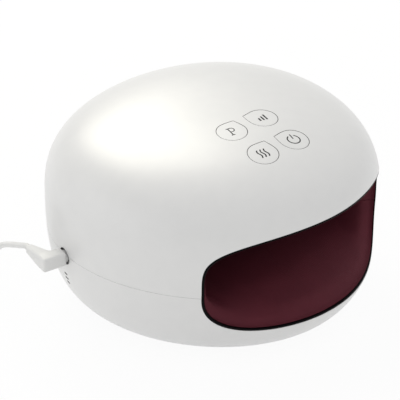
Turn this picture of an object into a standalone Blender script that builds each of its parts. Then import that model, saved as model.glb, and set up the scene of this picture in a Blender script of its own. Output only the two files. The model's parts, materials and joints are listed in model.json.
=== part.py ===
"""Hand massager: a pearl dome on a base, with a hand chamber between two air cushions.

The hand goes in from the front, along +Y. Air bags behind the cushions press it, and a
heating film warms it. Units are metres, +Z is up, +X is the user's right, and the origin
is on the surface that the feet stand on, below the middle of the body.
"""

import math

import bmesh
import bpy
from mathutils import Matrix, Vector

# Body
BODY_HALF_WIDTH = 0.1000
BODY_HALF_DEPTH = 0.1006
BODY_HEIGHT = 0.1180
WIDEST_HEIGHT = 0.0602
PARTING_HEIGHT = 0.0495
WALL = 0.0025
FOOT_PROUD = 0.0020
SEAT_GAP = 0.0003
EGG_SHARE = 0.082
BASE_REACH_SHARE = 0.668
DOME_RISE_POWER = 3.547
DOME_REACH_POWER = 2.424
BASE_DROP_POWER = 2.712
BASE_REACH_POWER = 2.246
ROUND_STEPS = 40
DOME_STEPS = 9
BASE_STEPS = 7
LIP_HEIGHT = 0.0022
LIP_WALL = 0.0011
OVERRUN = 0.0200

# Hand opening and the ring that lines it
OPENING_WIDTH_SHARE = 0.753
ROOM_OVER_OPENING = 0.0291
ROOM_UNDER_OPENING = 0.0229
OPENING_HALF_WIDTH = BODY_HALF_WIDTH * OPENING_WIDTH_SHARE
OPENING_RISE = BODY_HEIGHT - PARTING_HEIGHT - ROOM_OVER_OPENING
OPENING_DROP = PARTING_HEIGHT - ROOM_UNDER_OPENING
RISE_WIDTH_POWER = 2.32
RISE_HEIGHT_POWER = 4.68
DROP_WIDTH_POWER = 5.98
DROP_HEIGHT_POWER = 2.29
OUTLINE_STEPS = 20
RING_WALL = 0.0010
RING_DEPTH = 0.0060

# Hand chamber
ROOM_BEHIND_CHAMBER = 0.0586
CHAMBER_BACK = BODY_HALF_DEPTH - ROOM_BEHIND_CHAMBER
CHAMBER_DEPTH_POWER = 6.0
CHAMBER_REACH_POWER = 4.0
CHAMBER_DEPTH_SHARES = (0.0, 0.20, 0.42, 0.64, 0.80, 0.92, 0.985, 1.0)
TRAY_WALL = 0.0016
CUSHION_SETBACK = 0.0034
CUSHION_PAD = 0.0070
CUSHION_NOSE = 0.0140
NOSE_STEPS = 4
LOWER_CROWN = 0.0060
UPPER_CROWN = 0.0080
BLADDER_RIM = 0.0008
BLADDER_CROWN = 0.0020
BLADDER_COLUMNS = (6, 14)
BLADDER_ROWS = (1, 4)
HEATER_FILM = 0.0005
PORT_RADIUS = 0.0020
PORT_LENGTH = 0.0060
PORT_SETBACK = 0.0400
UPPER_PORT_AT = (0.0180, CHAMBER_BACK - PORT_SETBACK)
LOWER_PORT_AT = (0.0300, CHAMBER_BACK - PORT_SETBACK)

# Posts, ears and screws of the chamber
EAR_THICKNESS = 0.0024
EAR_RADIUS = 0.0045
POST_RADIUS = 0.0036
SIDE_EAR_REACH = 0.0088
BACK_EAR_REACH = 0.0055
SIDE_EAR_AT = (OPENING_HALF_WIDTH + SIDE_EAR_REACH, -0.0080)
BACK_EAR_AT = (0.0240, CHAMBER_BACK + BACK_EAR_REACH)
SCREW_RADIUS = 0.0011
SCREW_HEAD_RADIUS = 0.0025
SCREW_HEAD = 0.0016
SCREW_BITE = 0.0080
ROUND_SIDES = 12

# Housing screws
FRAME_ROOM = 0.0476
FRAME_FRONT_Y = BODY_HALF_DEPTH - FRAME_ROOM
TOWER_X = 0.0500
TOWER_STEP = 0.0030
TOWER_AT = (TOWER_X, FRAME_FRONT_Y - TOWER_STEP)
TOWER_RADIUS = 0.0050
TOWER_RECESS_RADIUS = 0.0035
TOWER_RECESS = 0.0280
HOUSING_SCREW_RADIUS = 0.0014
HOUSING_HEAD_RADIUS = 0.0029
HOUSING_BITE = 0.0120

# Feet
FOOT_COUNT = 5
FOOT_RING_SHARE = 0.64
FOOT_RING_RADIUS = BODY_HALF_WIDTH * FOOT_RING_SHARE
FOOT_RADIUS = 0.0060
FOOT_RECESS = 0.0012

# Vent slots below the socket
VENT_COUNT = 3
VENT_WIDTH = 0.0036
VENT_HEIGHT = 0.0012
VENT_PITCH = 0.0033
VENT_TOP_HEIGHT = 0.0337
VENT_ANGLE = math.radians(-108.5)

# Keys and their switches, in the plane of the key panel
PANEL_SHARE = 0.3678
PANEL_Y = -BODY_HALF_DEPTH * PANEL_SHARE
KEY_RADIUS = 0.0090
KEY_CORNER = 0.0081
KEY_PITCH_X = 0.0241
KEY_PITCH_Y = 0.0269
KEY_TURN = math.radians(-4.0)
KEY_GAP = 0.00035
KEY_TRAVEL = 0.0005
KEY_DEPTH = 0.0066
KEY_FLANGE = 0.0010
KEY_FLANGE_PROUD = 0.0012
KEY_STEM_RADIUS = 0.0020
KEY_STEM_END = 0.0114
BRACKET_DEPTH = 0.0076
BRACKET_THICKNESS = 0.0014
BRACKET_WIDTH = 0.0640
BRACKET_LENGTH = 0.0380
BOARD_DEPTH = 0.0138
BOARD_THICKNESS = 0.0016
SWITCH_SIDE = 0.0060
SWITCH_HEIGHT = 0.0034
PANEL_SCREW_X = 0.0280
PANEL_BOSS_RADIUS = 0.0030
LEAD_PLUG_SIZE = (0.0060, 0.0090, 0.0040)

# Rear frame with cells, pump and valves
CELL_RADIUS = 0.00925
CELL_LENGTH = 0.0650
CELL_STEP = 0.0120
CELL_Y = FRAME_FRONT_Y + CELL_STEP
CELL_LOW_Z = 0.0160
CELL_PITCH = 0.0192
FRAME_HALF_WIDTH = 0.0360
FRAME_FOOT_Z = 0.0080
FRAME_FOOT = 0.0022
FRAME_FOOT_X = 0.0410
FRAME_FOOT_STEP = 0.0060
FRAME_FOOT_AT = (FRAME_FOOT_X, FRAME_FRONT_Y + FRAME_FOOT_STEP)
FRAME_SHELF = 0.0020
PUMP_STEP = 0.0150
PUMP_Y = FRAME_FRONT_Y + PUMP_STEP
PUMP_JOINT_X = -0.0140
MOTOR_RADIUS = 0.0120
MOTOR_LENGTH = 0.0300
PUMP_HEAD_RADIUS = 0.0135
PUMP_HEAD_LENGTH = 0.0210
PUMP_HEAD_WALL = 0.0020
ROTOR_RADIUS = 0.0075
ROTOR_LENGTH = 0.0060
SHAFT_RADIUS = 0.0010
SHAFT_LENGTH = 0.0100
SHAFT_GAP = 0.0001
CRANK_RADIUS = 0.0015
CRANK_OFFSET = 0.0035
CRANK_LENGTH = 0.0050
SADDLE_WALL = 0.0030
SADDLE_LENGTH = 0.0200
FRAME_TOP = CELL_LOW_Z + CELL_PITCH + CELL_RADIUS + 2 * SEAT_GAP + FRAME_SHELF
PUMP_Z = FRAME_TOP + SADDLE_WALL + MOTOR_RADIUS
NOZZLE_RADIUS = 0.0016
NOZZLE_LENGTH = 0.0050
VALVE_XS = (0.0190, 0.0310)
VALVE_STEP = 0.0110
VALVE_Y = FRAME_FRONT_Y + VALVE_STEP
VALVE_SIDE = 0.0100
VALVE_HEIGHT = 0.0180
PLUNGER_RADIUS = 0.0022
PLUNGER_TRAVEL = 0.0012
PLUNGER_GAP = 0.0002
MANIFOLD_HEIGHT = 0.0070
TUBE_RADIUS = 0.0022

# Main board
MAIN_BOARD_SETBACK = 0.0140
MAIN_BOARD_LOW = (-0.0420, -0.0380)
MAIN_BOARD_HIGH = (0.0420, CHAMBER_BACK - MAIN_BOARD_SETBACK)
MAIN_BOARD_Z = 0.0086
MAIN_BOARD_HOLE_INSET = 0.0050
LEAD_PLUG_Y = -0.0180
LEAD_RADIUS = 0.0015
CHIP_HEIGHT = 0.0060
CHIP_SHARES = (
    (0.42, 0.42, 0.17, 0.21, 0.33),
    (0.69, 0.12, 0.12, 0.12, 1.00),
    (0.19, 0.67, 0.10, 0.12, 0.83),
    (0.38, 0.09, 0.19, 0.12, 0.75),
)

# Socket, plug and lead
JACK_HEIGHT = 0.0477
JACK_ANGLE = math.radians(-107.3)
JACK_HOLE_RADIUS = 0.0054
JACK_SETBACK = 0.0038
JACK_NOSE_DEPTH = 0.0010
JACK_LENGTH = 0.0130
JACK_WIDTH = 0.0100
JACK_BORE_RADIUS = 0.0031
JACK_BORE = 0.0105
JACK_PIN_RADIUS = 0.0009
BARREL_RADIUS = 0.00275
BARREL_BORE_RADIUS = 0.00125
BARREL_LENGTH = 0.0095
PLUG_COLLAR_RADIUS = 0.0038
PLUG_STAND_OFF = 0.0005
PLUG_ARM = 0.0118
PLUG_WIDTH = 0.0086
PLUG_HEIGHT = 0.0090
PLUG_LEG = 0.0226
PLUG_DROOP = 0.0028
PLUG_TIP_WIDTH = 0.0046
PLUG_TIP_HEIGHT = 0.0052
PLUG_ROUND = 0.0013
CORD_RADIUS = 0.0018
CORD_ROUTE = (
    (0.0000, 0.0000, 0.0000),
    (0.0007, 0.0021, 0.0000),
    (0.0010, 0.0056, -0.0014),
    (0.0019, 0.0105, -0.0038),
    (0.0044, 0.0208, -0.0092),
    (0.0083, 0.0339, -0.0172),
    (0.0108, 0.0445, -0.0264),
    (0.0124, 0.0540, -0.0352),
    (0.0136, 0.0625, -0.0412),
    (0.0143, 0.0710, -0.0443),
    (0.0145, 0.0800, -0.0450),
)
TAIL_ROUTE = (
    (0.0000, 0.0000, 0.0000),
    (0.0000, 0.0060, 0.0000),
    (0.0005, 0.0140, -0.0010),
    (0.0012, 0.0240, -0.0029),
    (0.0016, 0.0330, -0.0034),
    (0.0016, 0.0400, -0.0034),
)
COIL_CENTRE = (-0.1180, 0.1500)
COIL_INNER_RADIUS = 0.0128
COIL_PITCH = 0.0041
COIL_LAYERS = 2
COIL_TURNS_A_LAYER = 4
COIL_STEPS = 24
TIE_THICKNESS = 0.0008
TIE_WIDTH = 0.0080
TIE_SLACK = 0.0010
TIE_ANGLE = math.radians(200.0)
USB_BODY = (0.0110, 0.0240, 0.0070)
USB_SHELL = (0.0120, 0.0130, 0.0045)
USB_SHELL_WALL = 0.0004
LEAST_CORD_GAP = 0.0004

PEARL = (0.82, 0.81, 0.79)
WINE = (0.130, 0.012, 0.024)
BLACK = (0.012, 0.012, 0.014)
RUBBER = (0.020, 0.020, 0.020)
CORD_WHITE = (0.80, 0.80, 0.79)
BOARD_GREEN = (0.02, 0.16, 0.06)
STEEL = (0.56, 0.56, 0.57)
BRASS = (0.72, 0.53, 0.22)
CELL_BLUE = (0.04, 0.20, 0.42)
BLADDER_GREY = (0.35, 0.36, 0.38)
CLEAR_TUBE = (0.72, 0.74, 0.72)
FILM_AMBER = (0.45, 0.20, 0.04)

PARTING_Z = FOOT_PROUD + PARTING_HEIGHT
HALF_GAP = SEAT_GAP / 2
LINER_INSET = RING_WALL + SEAT_GAP
CUSHION_INSET = LINER_INSET + SEAT_GAP
MERGE = 1e-6


def clear_scene():
    for item in list(bpy.data.objects):
        bpy.data.objects.remove(item, do_unlink=True)


def collection(name):
    group = bpy.data.collections.new(name)
    bpy.context.scene.collection.children.link(group)
    return group


def material(name, colour, roughness, metallic=0.0):
    made = bpy.data.materials.new(name)
    made.use_nodes = True
    shader = made.node_tree.nodes["Principled BSDF"]
    shader.inputs["Base Color"].default_value = (*colour, 1.0)
    shader.inputs["Roughness"].default_value = roughness
    shader.inputs["Metallic"].default_value = metallic
    made.diffuse_color = (*colour, 1.0)
    return made


# Objects and their shapes


def add_part(name, mesh, look, matrix=None, parent=None):
    """Link a mesh as a named piece, smooth where its faces meet at a small angle."""
    piece = bpy.data.objects.new(name, mesh)
    mesh.materials.clear()
    mesh.materials.append(look)
    mesh.shade_smooth()
    mesh.set_sharp_from_angle(angle=math.radians(35.0))
    parts.objects.link(piece)
    if parent is not None:
        piece.parent = parent
    if matrix is not None:
        piece.matrix_basis = matrix
    return piece


def add_tool(name, mesh, matrix=None, parent=None):
    """Link a mesh as a shape that only cuts, joins or trims other pieces."""
    tool = bpy.data.objects.new(name, mesh)
    tools.objects.link(tool)
    tool.hide_render = True
    tool.display_type = "WIRE"
    if parent is not None:
        tool.parent = parent
    if matrix is not None:
        tool.matrix_basis = matrix
    return tool


def combine(piece, operation, *others):
    for other in others:
        step = piece.modifiers.new(f"{operation.title()} {other.name}", "BOOLEAN")
        step.operation = operation
        step.solver = "EXACT"
        step.object = other


def evaluated_mesh(source):
    """Take the mesh of an object with its modifiers, and remove the object."""
    bpy.context.view_layer.update()
    graph = bpy.context.evaluated_depsgraph_get()
    mesh = bpy.data.meshes.new_from_object(source.evaluated_get(graph))
    bpy.data.objects.remove(source, do_unlink=True)
    return mesh


def weld(mesh, distance=MERGE):
    shape = bmesh.new()
    shape.from_mesh(mesh)
    bmesh.ops.remove_doubles(shape, verts=shape.verts, dist=distance)
    bmesh.ops.dissolve_degenerate(shape, dist=distance, edges=shape.edges)
    bmesh.ops.recalc_face_normals(shape, faces=shape.faces)
    shape.to_mesh(mesh)
    shape.free()
    return mesh


def box_mesh(name, low, high):
    size = [b - a for a, b in zip(low, high)]
    middle = [(a + b) / 2 for a, b in zip(low, high)]
    shape = bmesh.new()
    bmesh.ops.create_cube(shape, size=1.0)
    bmesh.ops.scale(shape, vec=size, verts=shape.verts)
    bmesh.ops.translate(shape, vec=middle, verts=shape.verts)
    mesh = bpy.data.meshes.new(name)
    shape.to_mesh(mesh)
    shape.free()
    return mesh


def rod_mesh(name, radius, start, end, tip_radius=None, sides=ROUND_SIDES):
    """A cylinder or cone between two points."""
    start = Vector(start)
    along = Vector(end) - start
    turn = Vector((0, 0, 1)).rotation_difference(along).to_matrix().to_4x4()
    shape = bmesh.new()
    bmesh.ops.create_cone(
        shape, cap_ends=True, segments=sides, radius1=radius,
        radius2=radius if tip_radius is None else tip_radius, depth=along.length,
        matrix=Matrix.Translation(start + along / 2) @ turn,
    )
    mesh = bpy.data.meshes.new(name)
    shape.to_mesh(mesh)
    shape.free()
    return mesh


def flat_mesh(name, outline, thickness):
    """A flat outline made solid, with its middle plane at z = 0."""
    curve = bpy.data.curves.new(name, "CURVE")
    curve.dimensions = "2D"
    curve.fill_mode = "BOTH"
    curve.extrude = thickness / 2
    line = curve.splines.new("POLY")
    line.points.add(len(outline) - 1)
    for point, (x, y) in zip(line.points, outline):
        point.co = (x, y, 0, 1)
    line.use_cyclic_u = True
    holder = bpy.data.objects.new(name, curve)
    tools.objects.link(holder)
    mesh = weld(evaluated_mesh(holder))
    bpy.data.curves.remove(curve)
    return mesh


def tube_part(name, points, radius, look, resolution=2, parent=None):
    """A round tube along a line of points, with closed ends."""
    curve = bpy.data.curves.new(name, "CURVE")
    curve.dimensions = "3D"
    curve.bevel_depth = radius
    curve.bevel_resolution = resolution
    curve.use_fill_caps = True
    line = curve.splines.new("POLY")
    line.points.add(len(points) - 1)
    for point, place in zip(line.points, points):
        point.co = (*place, 1)
    curve.materials.append(look)
    piece = bpy.data.objects.new(name, curve)
    parts.objects.link(piece)
    piece.parent = parent
    return piece


def smooth_line(points, step):
    """Points at about even steps on a smooth curve through the given points."""
    points = [Vector(p) for p in points]
    padded = [2 * points[0] - points[1], *points, 2 * points[-1] - points[-2]]
    fine = []
    for a, b, c, d in zip(padded, padded[1:], padded[2:], padded[3:]):
        pieces = max(2, math.ceil((c - b).length / step))
        for i in range(pieces):
            t = i / pieces
            fine.append(
                ((2 * b) + (c - a) * t + (2 * a - 5 * b + 4 * c - d) * t**2
                 + (3 * b - a - 3 * c + d) * t**3) / 2
            )
    return [*fine, points[-1]]


def eased(t):
    """Rise from 0 to 1 as t does, level at both ends."""
    t = min(1.0, max(0.0, t))
    return t * t * (3 - 2 * t)


# The body's outer surface


def reach_share(height):
    """Share of the full reach from the axis, at a height above the underside."""
    if height >= WIDEST_HEIGHT:
        rise = min(1.0, (height - WIDEST_HEIGHT) / (BODY_HEIGHT - WIDEST_HEIGHT))
        return (1 - rise**DOME_RISE_POWER) ** (1 / DOME_REACH_POWER)
    drop = min(1.0, (WIDEST_HEIGHT - height) / WIDEST_HEIGHT)
    reach = (1 - drop**BASE_DROP_POWER) ** (1 / BASE_REACH_POWER)
    return BASE_REACH_SHARE + (1 - BASE_REACH_SHARE) * reach


def egg(x, y):
    """Turn a point of a round plan into one of the egg shaped plan, narrower at the front."""
    radius = math.hypot(x, y)
    if radius == 0:
        return 0.0, 0.0
    return x * (1 + EGG_SHARE * y / radius), y * BODY_HALF_DEPTH / BODY_HALF_WIDTH


def wall_point(angle, height):
    """A point of the outer surface, at an angle from the front towards +X."""
    radius = BODY_HALF_WIDTH * reach_share(height)
    x, y = egg(radius * math.sin(angle), -radius * math.cos(angle))
    return Vector((x, y, FOOT_PROUD + height))


def front_y(x, z):
    """Where a line along Y at x and z meets the front of the outer surface."""
    share = reach_share(z - FOOT_PROUD)
    cosine = 1.0
    for _ in range(30):
        sine = abs(x) / (BODY_HALF_WIDTH * share * (1 - EGG_SHARE * cosine))
        cosine = math.sqrt(max(0.0, 1 - min(1.0, sine) ** 2))
    return -BODY_HALF_DEPTH * share * cosine


def dome_z(x, y):
    """Height of the dome above a point of the plan."""
    cosine = 0.0
    share = 0.0
    for _ in range(12):
        share = math.hypot(x / (BODY_HALF_WIDTH * (1 - EGG_SHARE * cosine)), y / BODY_HALF_DEPTH)
        cosine = -y / (BODY_HALF_DEPTH * share) if share else 0.0
    rise = (1 - min(1.0, share) ** DOME_REACH_POWER) ** (1 / DOME_RISE_POWER)
    return FOOT_PROUD + WIDEST_HEIGHT + (BODY_HEIGHT - WIDEST_HEIGHT) * rise


def dome_profile():
    """Outer side from the top of the dome down to the widest point, as (reach, z)."""
    line = []
    for i in range(DOME_STEPS + 1):
        a = math.radians(90.0) * (1 - i / DOME_STEPS)
        reach = BODY_HALF_WIDTH * max(0.0, math.cos(a)) ** (2 / DOME_REACH_POWER)
        rise = math.sin(a) ** (2 / DOME_RISE_POWER)
        line.append((reach if i else 0.0, WIDEST_HEIGHT + (BODY_HEIGHT - WIDEST_HEIGHT) * rise))
    return [(r, FOOT_PROUD + z) for r, z in line]


def base_profile():
    """Outer side from the parting line down to the edge of the flat underside."""
    first = math.asin(((WIDEST_HEIGHT - PARTING_HEIGHT) / WIDEST_HEIGHT) ** (BASE_DROP_POWER / 2))
    line = []
    for i in range(BASE_STEPS + 1):
        a = first + (math.radians(90.0) - first) * i / BASE_STEPS
        bulge = max(0.0, math.cos(a)) ** (2 / BASE_REACH_POWER)
        share = BASE_REACH_SHARE + (1 - BASE_REACH_SHARE) * bulge
        drop = math.sin(a) ** (2 / BASE_DROP_POWER)
        line.append((BODY_HALF_WIDTH * share, FOOT_PROUD + WIDEST_HEIGHT * (1 - drop)))
    return line


def moved_in(line, distance):
    """The same line moved inwards, square to itself."""
    inner = []
    for i, (r, z) in enumerate(line):
        before = line[max(0, i - 1)]
        after = line[min(len(line) - 1, i + 1)]
        dr = after[0] - before[0]
        dz = after[1] - before[1]
        length = math.hypot(dr, dz)
        inner.append((r + distance * dz / length, z - distance * dr / length))
    return inner


def turned_mesh(name, line):
    """Turn a profile about Z and press the round body into its egg shape."""
    mesh = bpy.data.meshes.new(name)
    mesh.from_pydata([(r, 0, z) for r, z in line], [(i, i + 1) for i in range(len(line) - 1)], [])
    holder = bpy.data.objects.new(name, mesh)
    tools.objects.link(holder)
    turn = holder.modifiers.new("Turn", "SCREW")
    turn.steps = ROUND_STEPS
    turn.render_steps = ROUND_STEPS
    turn.use_merge_vertices = True
    turn.merge_threshold = MERGE
    turned = weld(evaluated_mesh(holder))
    for vertex in turned.vertices:
        vertex.co.x, vertex.co.y = egg(vertex.co.x, vertex.co.y)
    return turned


# The outline of the hand opening


def opening_xz(angle, inset):
    """A point of the opening's outline about the parting line, moved in by inset."""
    c, s = math.cos(angle), math.sin(angle)
    upper = s >= 0
    height = (OPENING_RISE if upper else OPENING_DROP) - inset
    width_power = RISE_WIDTH_POWER if upper else DROP_WIDTH_POWER
    height_power = RISE_HEIGHT_POWER if upper else DROP_HEIGHT_POWER
    x = math.copysign(abs(c) ** (2 / width_power), c) * (OPENING_HALF_WIDTH - inset)
    z = math.copysign(abs(s) ** (2 / height_power), s) * height
    return x, z


def even_angles(side):
    """Angles that space the points of one half of the outline evenly; side is 1 or -1."""
    fine = [side * math.pi * i / 2000 for i in range(2001)]
    places = [opening_xz(a, 0.0) for a in fine]
    run = [0.0]
    for (x0, z0), (x1, z1) in zip(places, places[1:]):
        run.append(run[-1] + math.hypot(x1 - x0, z1 - z0))
    angles = []
    k = 0
    for i in range(OUTLINE_STEPS + 1):
        while k < 2000 and run[k] < run[-1] * i / OUTLINE_STEPS:
            k += 1
        angles.append(fine[k])
    angles[0], angles[-1] = 0.0, side * math.pi
    if OUTLINE_STEPS % 2 == 0:
        angles[OUTLINE_STEPS // 2] = side * math.pi / 2
    return angles


def whole_outline(inset):
    """The closed outline of the opening as (x, z above the underside's plane)."""
    angles = even_angles(1)[:-1] + list(reversed(even_angles(-1)))[:-1]
    return [(x, PARTING_Z + z) for x, z in (opening_xz(a, inset) for a in angles)]


def grid_solid(name, outer, inner):
    """A closed solid between two grids of points that share their rows and columns."""
    shape = bmesh.new()
    rows = len(outer)
    columns = len(outer[0])
    sheets = [[[shape.verts.new(p) for p in row] for row in grid] for grid in (outer, inner)]
    for sheet in sheets:
        for j in range(rows - 1):
            for i in range(columns - 1):
                shape.faces.new((sheet[j][i], sheet[j][i + 1], sheet[j + 1][i + 1], sheet[j + 1][i]))
    rim = [(0, i) for i in range(columns)]
    rim += [(j, columns - 1) for j in range(1, rows)]
    rim += [(rows - 1, i) for i in range(columns - 2, -1, -1)]
    rim += [(j, 0) for j in range(rows - 2, 0, -1)]
    for (j0, i0), (j1, i1) in zip(rim, rim[1:] + rim[:1]):
        corners = (sheets[0][j0][i0], sheets[0][j1][i1], sheets[1][j1][i1], sheets[1][j0][i0])
        shape.faces.new(corners)
    mesh = bpy.data.meshes.new(name)
    shape.to_mesh(mesh)
    shape.free()
    return weld(mesh)


# Shells


def dome_line():
    outer = dome_profile() + base_profile()[:1]
    outer[-1] = (outer[-1][0], PARTING_Z + HALF_GAP)
    inner = moved_in(outer, WALL)
    inner[0] = (0.0, inner[0][1])
    lip_top = PARTING_Z + LIP_HEIGHT + SEAT_GAP
    edge = outer[-1][0]
    rebate = edge - WALL + LIP_WALL + SEAT_GAP
    inner[-1] = (edge - WALL, lip_top)
    return outer + [(rebate, PARTING_Z + HALF_GAP), (rebate, lip_top)] + list(reversed(inner))


def base_line():
    outer = base_profile()
    outer[0] = (outer[0][0], PARTING_Z - HALF_GAP)
    flat = outer + [(0.0, FOOT_PROUD)]
    inner = moved_in(flat, WALL)
    inner[-1] = (0.0, inner[-1][1])
    edge = outer[0][0]
    lip_top = PARTING_Z + LIP_HEIGHT
    inner[0] = (edge - WALL, lip_top)
    lip = [(edge - WALL + LIP_WALL, lip_top), (edge - WALL + LIP_WALL, PARTING_Z - HALF_GAP)]
    return list(reversed(inner)) + lip + flat


def mirrored(place):
    x, y = place
    return ((x, y), (-x, y))


def post_places():
    return [*mirrored(SIDE_EAR_AT), *mirrored(BACK_EAR_AT)]


def make_envelopes():
    """Solids of the body's outer form, and of its inside half way through the wall."""
    full = dome_profile() + base_profile() + [(0.0, FOOT_PROUD)]
    core = moved_in(full, WALL / 2)
    core[0] = (0.0, core[0][1])
    core[-1] = (0.0, core[-1][1])
    return add_tool("body_form", turned_mesh("body_form", full)), add_tool(
        "body_core", turned_mesh("body_core", core))


def make_upper_shell():
    shell = add_part("upper_shell", turned_mesh("upper_shell", dome_line()), pearl)
    for number, (x, y) in enumerate(mirrored(TOWER_AT), 1):
        start = PARTING_Z + SEAT_GAP
        boss = add_tool(f"upper_tower_{number}", rod_mesh(
            "upper_tower", TOWER_RADIUS, (x, y, start), (x, y, FOOT_PROUD + BODY_HEIGHT)))
        combine(boss, "INTERSECT", body_core)
        combine(shell, "UNION", boss)
        pilot = add_tool(f"upper_pilot_{number}", rod_mesh(
            "upper_pilot", HOUSING_SCREW_RADIUS + SEAT_GAP, (x, y, start - OVERRUN),
            (x, y, start + HOUSING_BITE + SEAT_GAP)))
        combine(shell, "DIFFERENCE", pilot)
    for number, side in enumerate((-1, 1), 1):
        x = side * PANEL_SCREW_X
        top = BRACKET_DEPTH - SEAT_GAP
        boss = add_tool(f"panel_boss_{number}", rod_mesh(
            "panel_boss", PANEL_BOSS_RADIUS, (x, 0, -top), (x, 0, OVERRUN)), parent=panel)
        combine(boss, "INTERSECT", body_core)
        combine(shell, "UNION", boss)
        pilot = add_tool(f"panel_pilot_{number}", rod_mesh(
            "panel_pilot", SCREW_RADIUS + SEAT_GAP, (x, 0, -top - OVERRUN), (x, 0, -top + WALL)),
            parent=panel)
        combine(shell, "DIFFERENCE", pilot)
    for name, x, y, turn in KEYS:
        hole = flat_mesh(f"{name}_hole", drop_outline(KEY_GAP, turn), 2 * OVERRUN)
        tool = add_tool(f"{name}_hole", hole, Matrix.Translation((x, y, 0)), panel)
        combine(shell, "DIFFERENCE", tool)
    combine(shell, "DIFFERENCE", opening_cutter, jack_cutter)
    return shell


def make_lower_shell():
    shell = add_part("lower_shell", turned_mesh("lower_shell", base_line()), pearl)
    ear_low = PARTING_Z - HALF_GAP - EAR_THICKNESS - SEAT_GAP
    for number, (x, y) in enumerate(post_places(), 1):
        post = add_tool(f"chamber_post_{number}", rod_mesh(
            "chamber_post", POST_RADIUS, (x, y, FOOT_PROUD), (x, y, ear_low)))
        combine(post, "INTERSECT", body_core)
        pilot = add_tool(f"chamber_pilot_{number}", rod_mesh(
            "chamber_pilot", SCREW_RADIUS + SEAT_GAP, (x, y, ear_low - SCREW_BITE - SEAT_GAP),
            (x, y, ear_low + OVERRUN)))
        combine(shell, "UNION", post)
        combine(shell, "DIFFERENCE", pilot)
    for number, (x, y) in enumerate(mirrored(TOWER_AT), 1):
        tower = add_tool(f"lower_tower_{number}", rod_mesh(
            "lower_tower", TOWER_RADIUS, (x, y, FOOT_PROUD), (x, y, PARTING_Z)))
        combine(tower, "INTERSECT", body_core)
        recess = add_tool(f"tower_recess_{number}", rod_mesh(
            "tower_recess", TOWER_RECESS_RADIUS, (x, y, -OVERRUN), (x, y, TOWER_RECESS)))
        bore = add_tool(f"tower_bore_{number}", rod_mesh(
            "tower_bore", HOUSING_SCREW_RADIUS + SEAT_GAP, (x, y, 0), (x, y, PARTING_Z + OVERRUN)))
        combine(shell, "UNION", tower)
        combine(shell, "DIFFERENCE", recess, bore)
    low_posts = [(x, y, FRAME_FOOT_Z - SEAT_GAP) for x, y in mirrored(FRAME_FOOT_AT)]
    low_posts += [(x, y, MAIN_BOARD_Z - SEAT_GAP) for x, y in board_screws()]
    for number, (x, y, top) in enumerate(low_posts, 1):
        post = add_tool(f"low_post_{number}", rod_mesh(
            "low_post", POST_RADIUS, (x, y, FOOT_PROUD), (x, y, top)))
        combine(post, "INTERSECT", body_core)
        pilot = add_tool(f"low_pilot_{number}", rod_mesh(
            "low_pilot", SCREW_RADIUS + SEAT_GAP, (x, y, FOOT_PROUD + WALL), (x, y, top + OVERRUN)))
        combine(shell, "UNION", post)
        combine(shell, "DIFFERENCE", pilot)
    for number, (x, y) in enumerate(foot_places(), 1):
        seat = add_tool(f"foot_seat_{number}", rod_mesh(
            "foot_seat", FOOT_RADIUS + SEAT_GAP, (x, y, -OVERRUN), (x, y, FOOT_PROUD + FOOT_RECESS)))
        combine(shell, "DIFFERENCE", seat)
    for number in range(VENT_COUNT):
        place = wall_point(VENT_ANGLE, VENT_TOP_HEIGHT - number * VENT_PITCH)
        cut = box_mesh("vent", (-OVERRUN, -VENT_WIDTH / 2, -VENT_HEIGHT / 2),
                       (OVERRUN, VENT_WIDTH / 2, VENT_HEIGHT / 2))
        frame = Matrix.Translation(place) @ Matrix.Rotation(wall_heading(VENT_ANGLE), 4, "Z")
        combine(shell, "DIFFERENCE", add_tool(f"vent_{number + 1}", cut, frame))
    combine(shell, "DIFFERENCE", opening_cutter, jack_cutter)
    return shell


# Ring and hand chamber


def make_opening_ring():
    """Loft of a small square section round the opening, flush with the shell outside."""
    outer = whole_outline(SEAT_GAP)
    inner = whole_outline(SEAT_GAP + RING_WALL)
    shape = bmesh.new()
    loops = []
    for line, back in ((outer, 0.0), (inner, 0.0), (inner, RING_DEPTH), (outer, RING_DEPTH)):
        loops.append([shape.verts.new((x, front_y(x, z) + back, z)) for x, z in line])
    count = len(outer)
    for a, b in zip(loops, loops[1:] + loops[:1]):
        for i in range(count):
            k = (i + 1) % count
            shape.faces.new((a[i], a[k], b[k], b[i]))
    mesh = bpy.data.meshes.new("opening_ring")
    shape.to_mesh(mesh)
    shape.free()
    return add_part("opening_ring", weld(mesh), gloss_black)


def chamber_point(angle, depth_share, inset, setback, side):
    """A point of the chamber's surface moved in by inset; side is 1 above the parting line."""
    x, z = opening_xz(angle, inset)
    start = front_y(x, PARTING_Z + z) + setback
    y = start + (CHAMBER_BACK - inset - start) * depth_share
    reach = (1 - depth_share**CHAMBER_DEPTH_POWER) ** (1 / CHAMBER_REACH_POWER)
    return Vector((x * reach, y, PARTING_Z + side * HALF_GAP + z * reach))


def chamber_grid(side, inset, setback):
    return [[chamber_point(a, share, inset, setback, side) for a in even_angles(side)]
            for share in CHAMBER_DEPTH_SHARES]


def bladder_lift(row, column):
    """How thick the air bag is at a point of the chamber's grid, or None beside it."""
    (first_row, last_row), (first, last) = BLADDER_ROWS, BLADDER_COLUMNS
    if not (first_row <= row <= last_row and first <= column <= last):
        return None
    along = math.sin(math.pi * (row - first_row) / (last_row - first_row))
    across = math.sin(math.pi * (column - first) / (last - first))
    return BLADDER_RIM + BLADDER_CROWN * math.sqrt(max(0.0, along * across))


def stack_height(side, row, column):
    """Room that the air bag, and below also the heating film, take behind a cushion."""
    lift = bladder_lift(row, column)
    if lift is None:
        return 0.0
    return lift + SEAT_GAP + (HEATER_FILM + SEAT_GAP if side < 0 else 0.0)


def lifted(place, side, amount):
    return place + Vector((0, 0, -side * amount))


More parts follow.
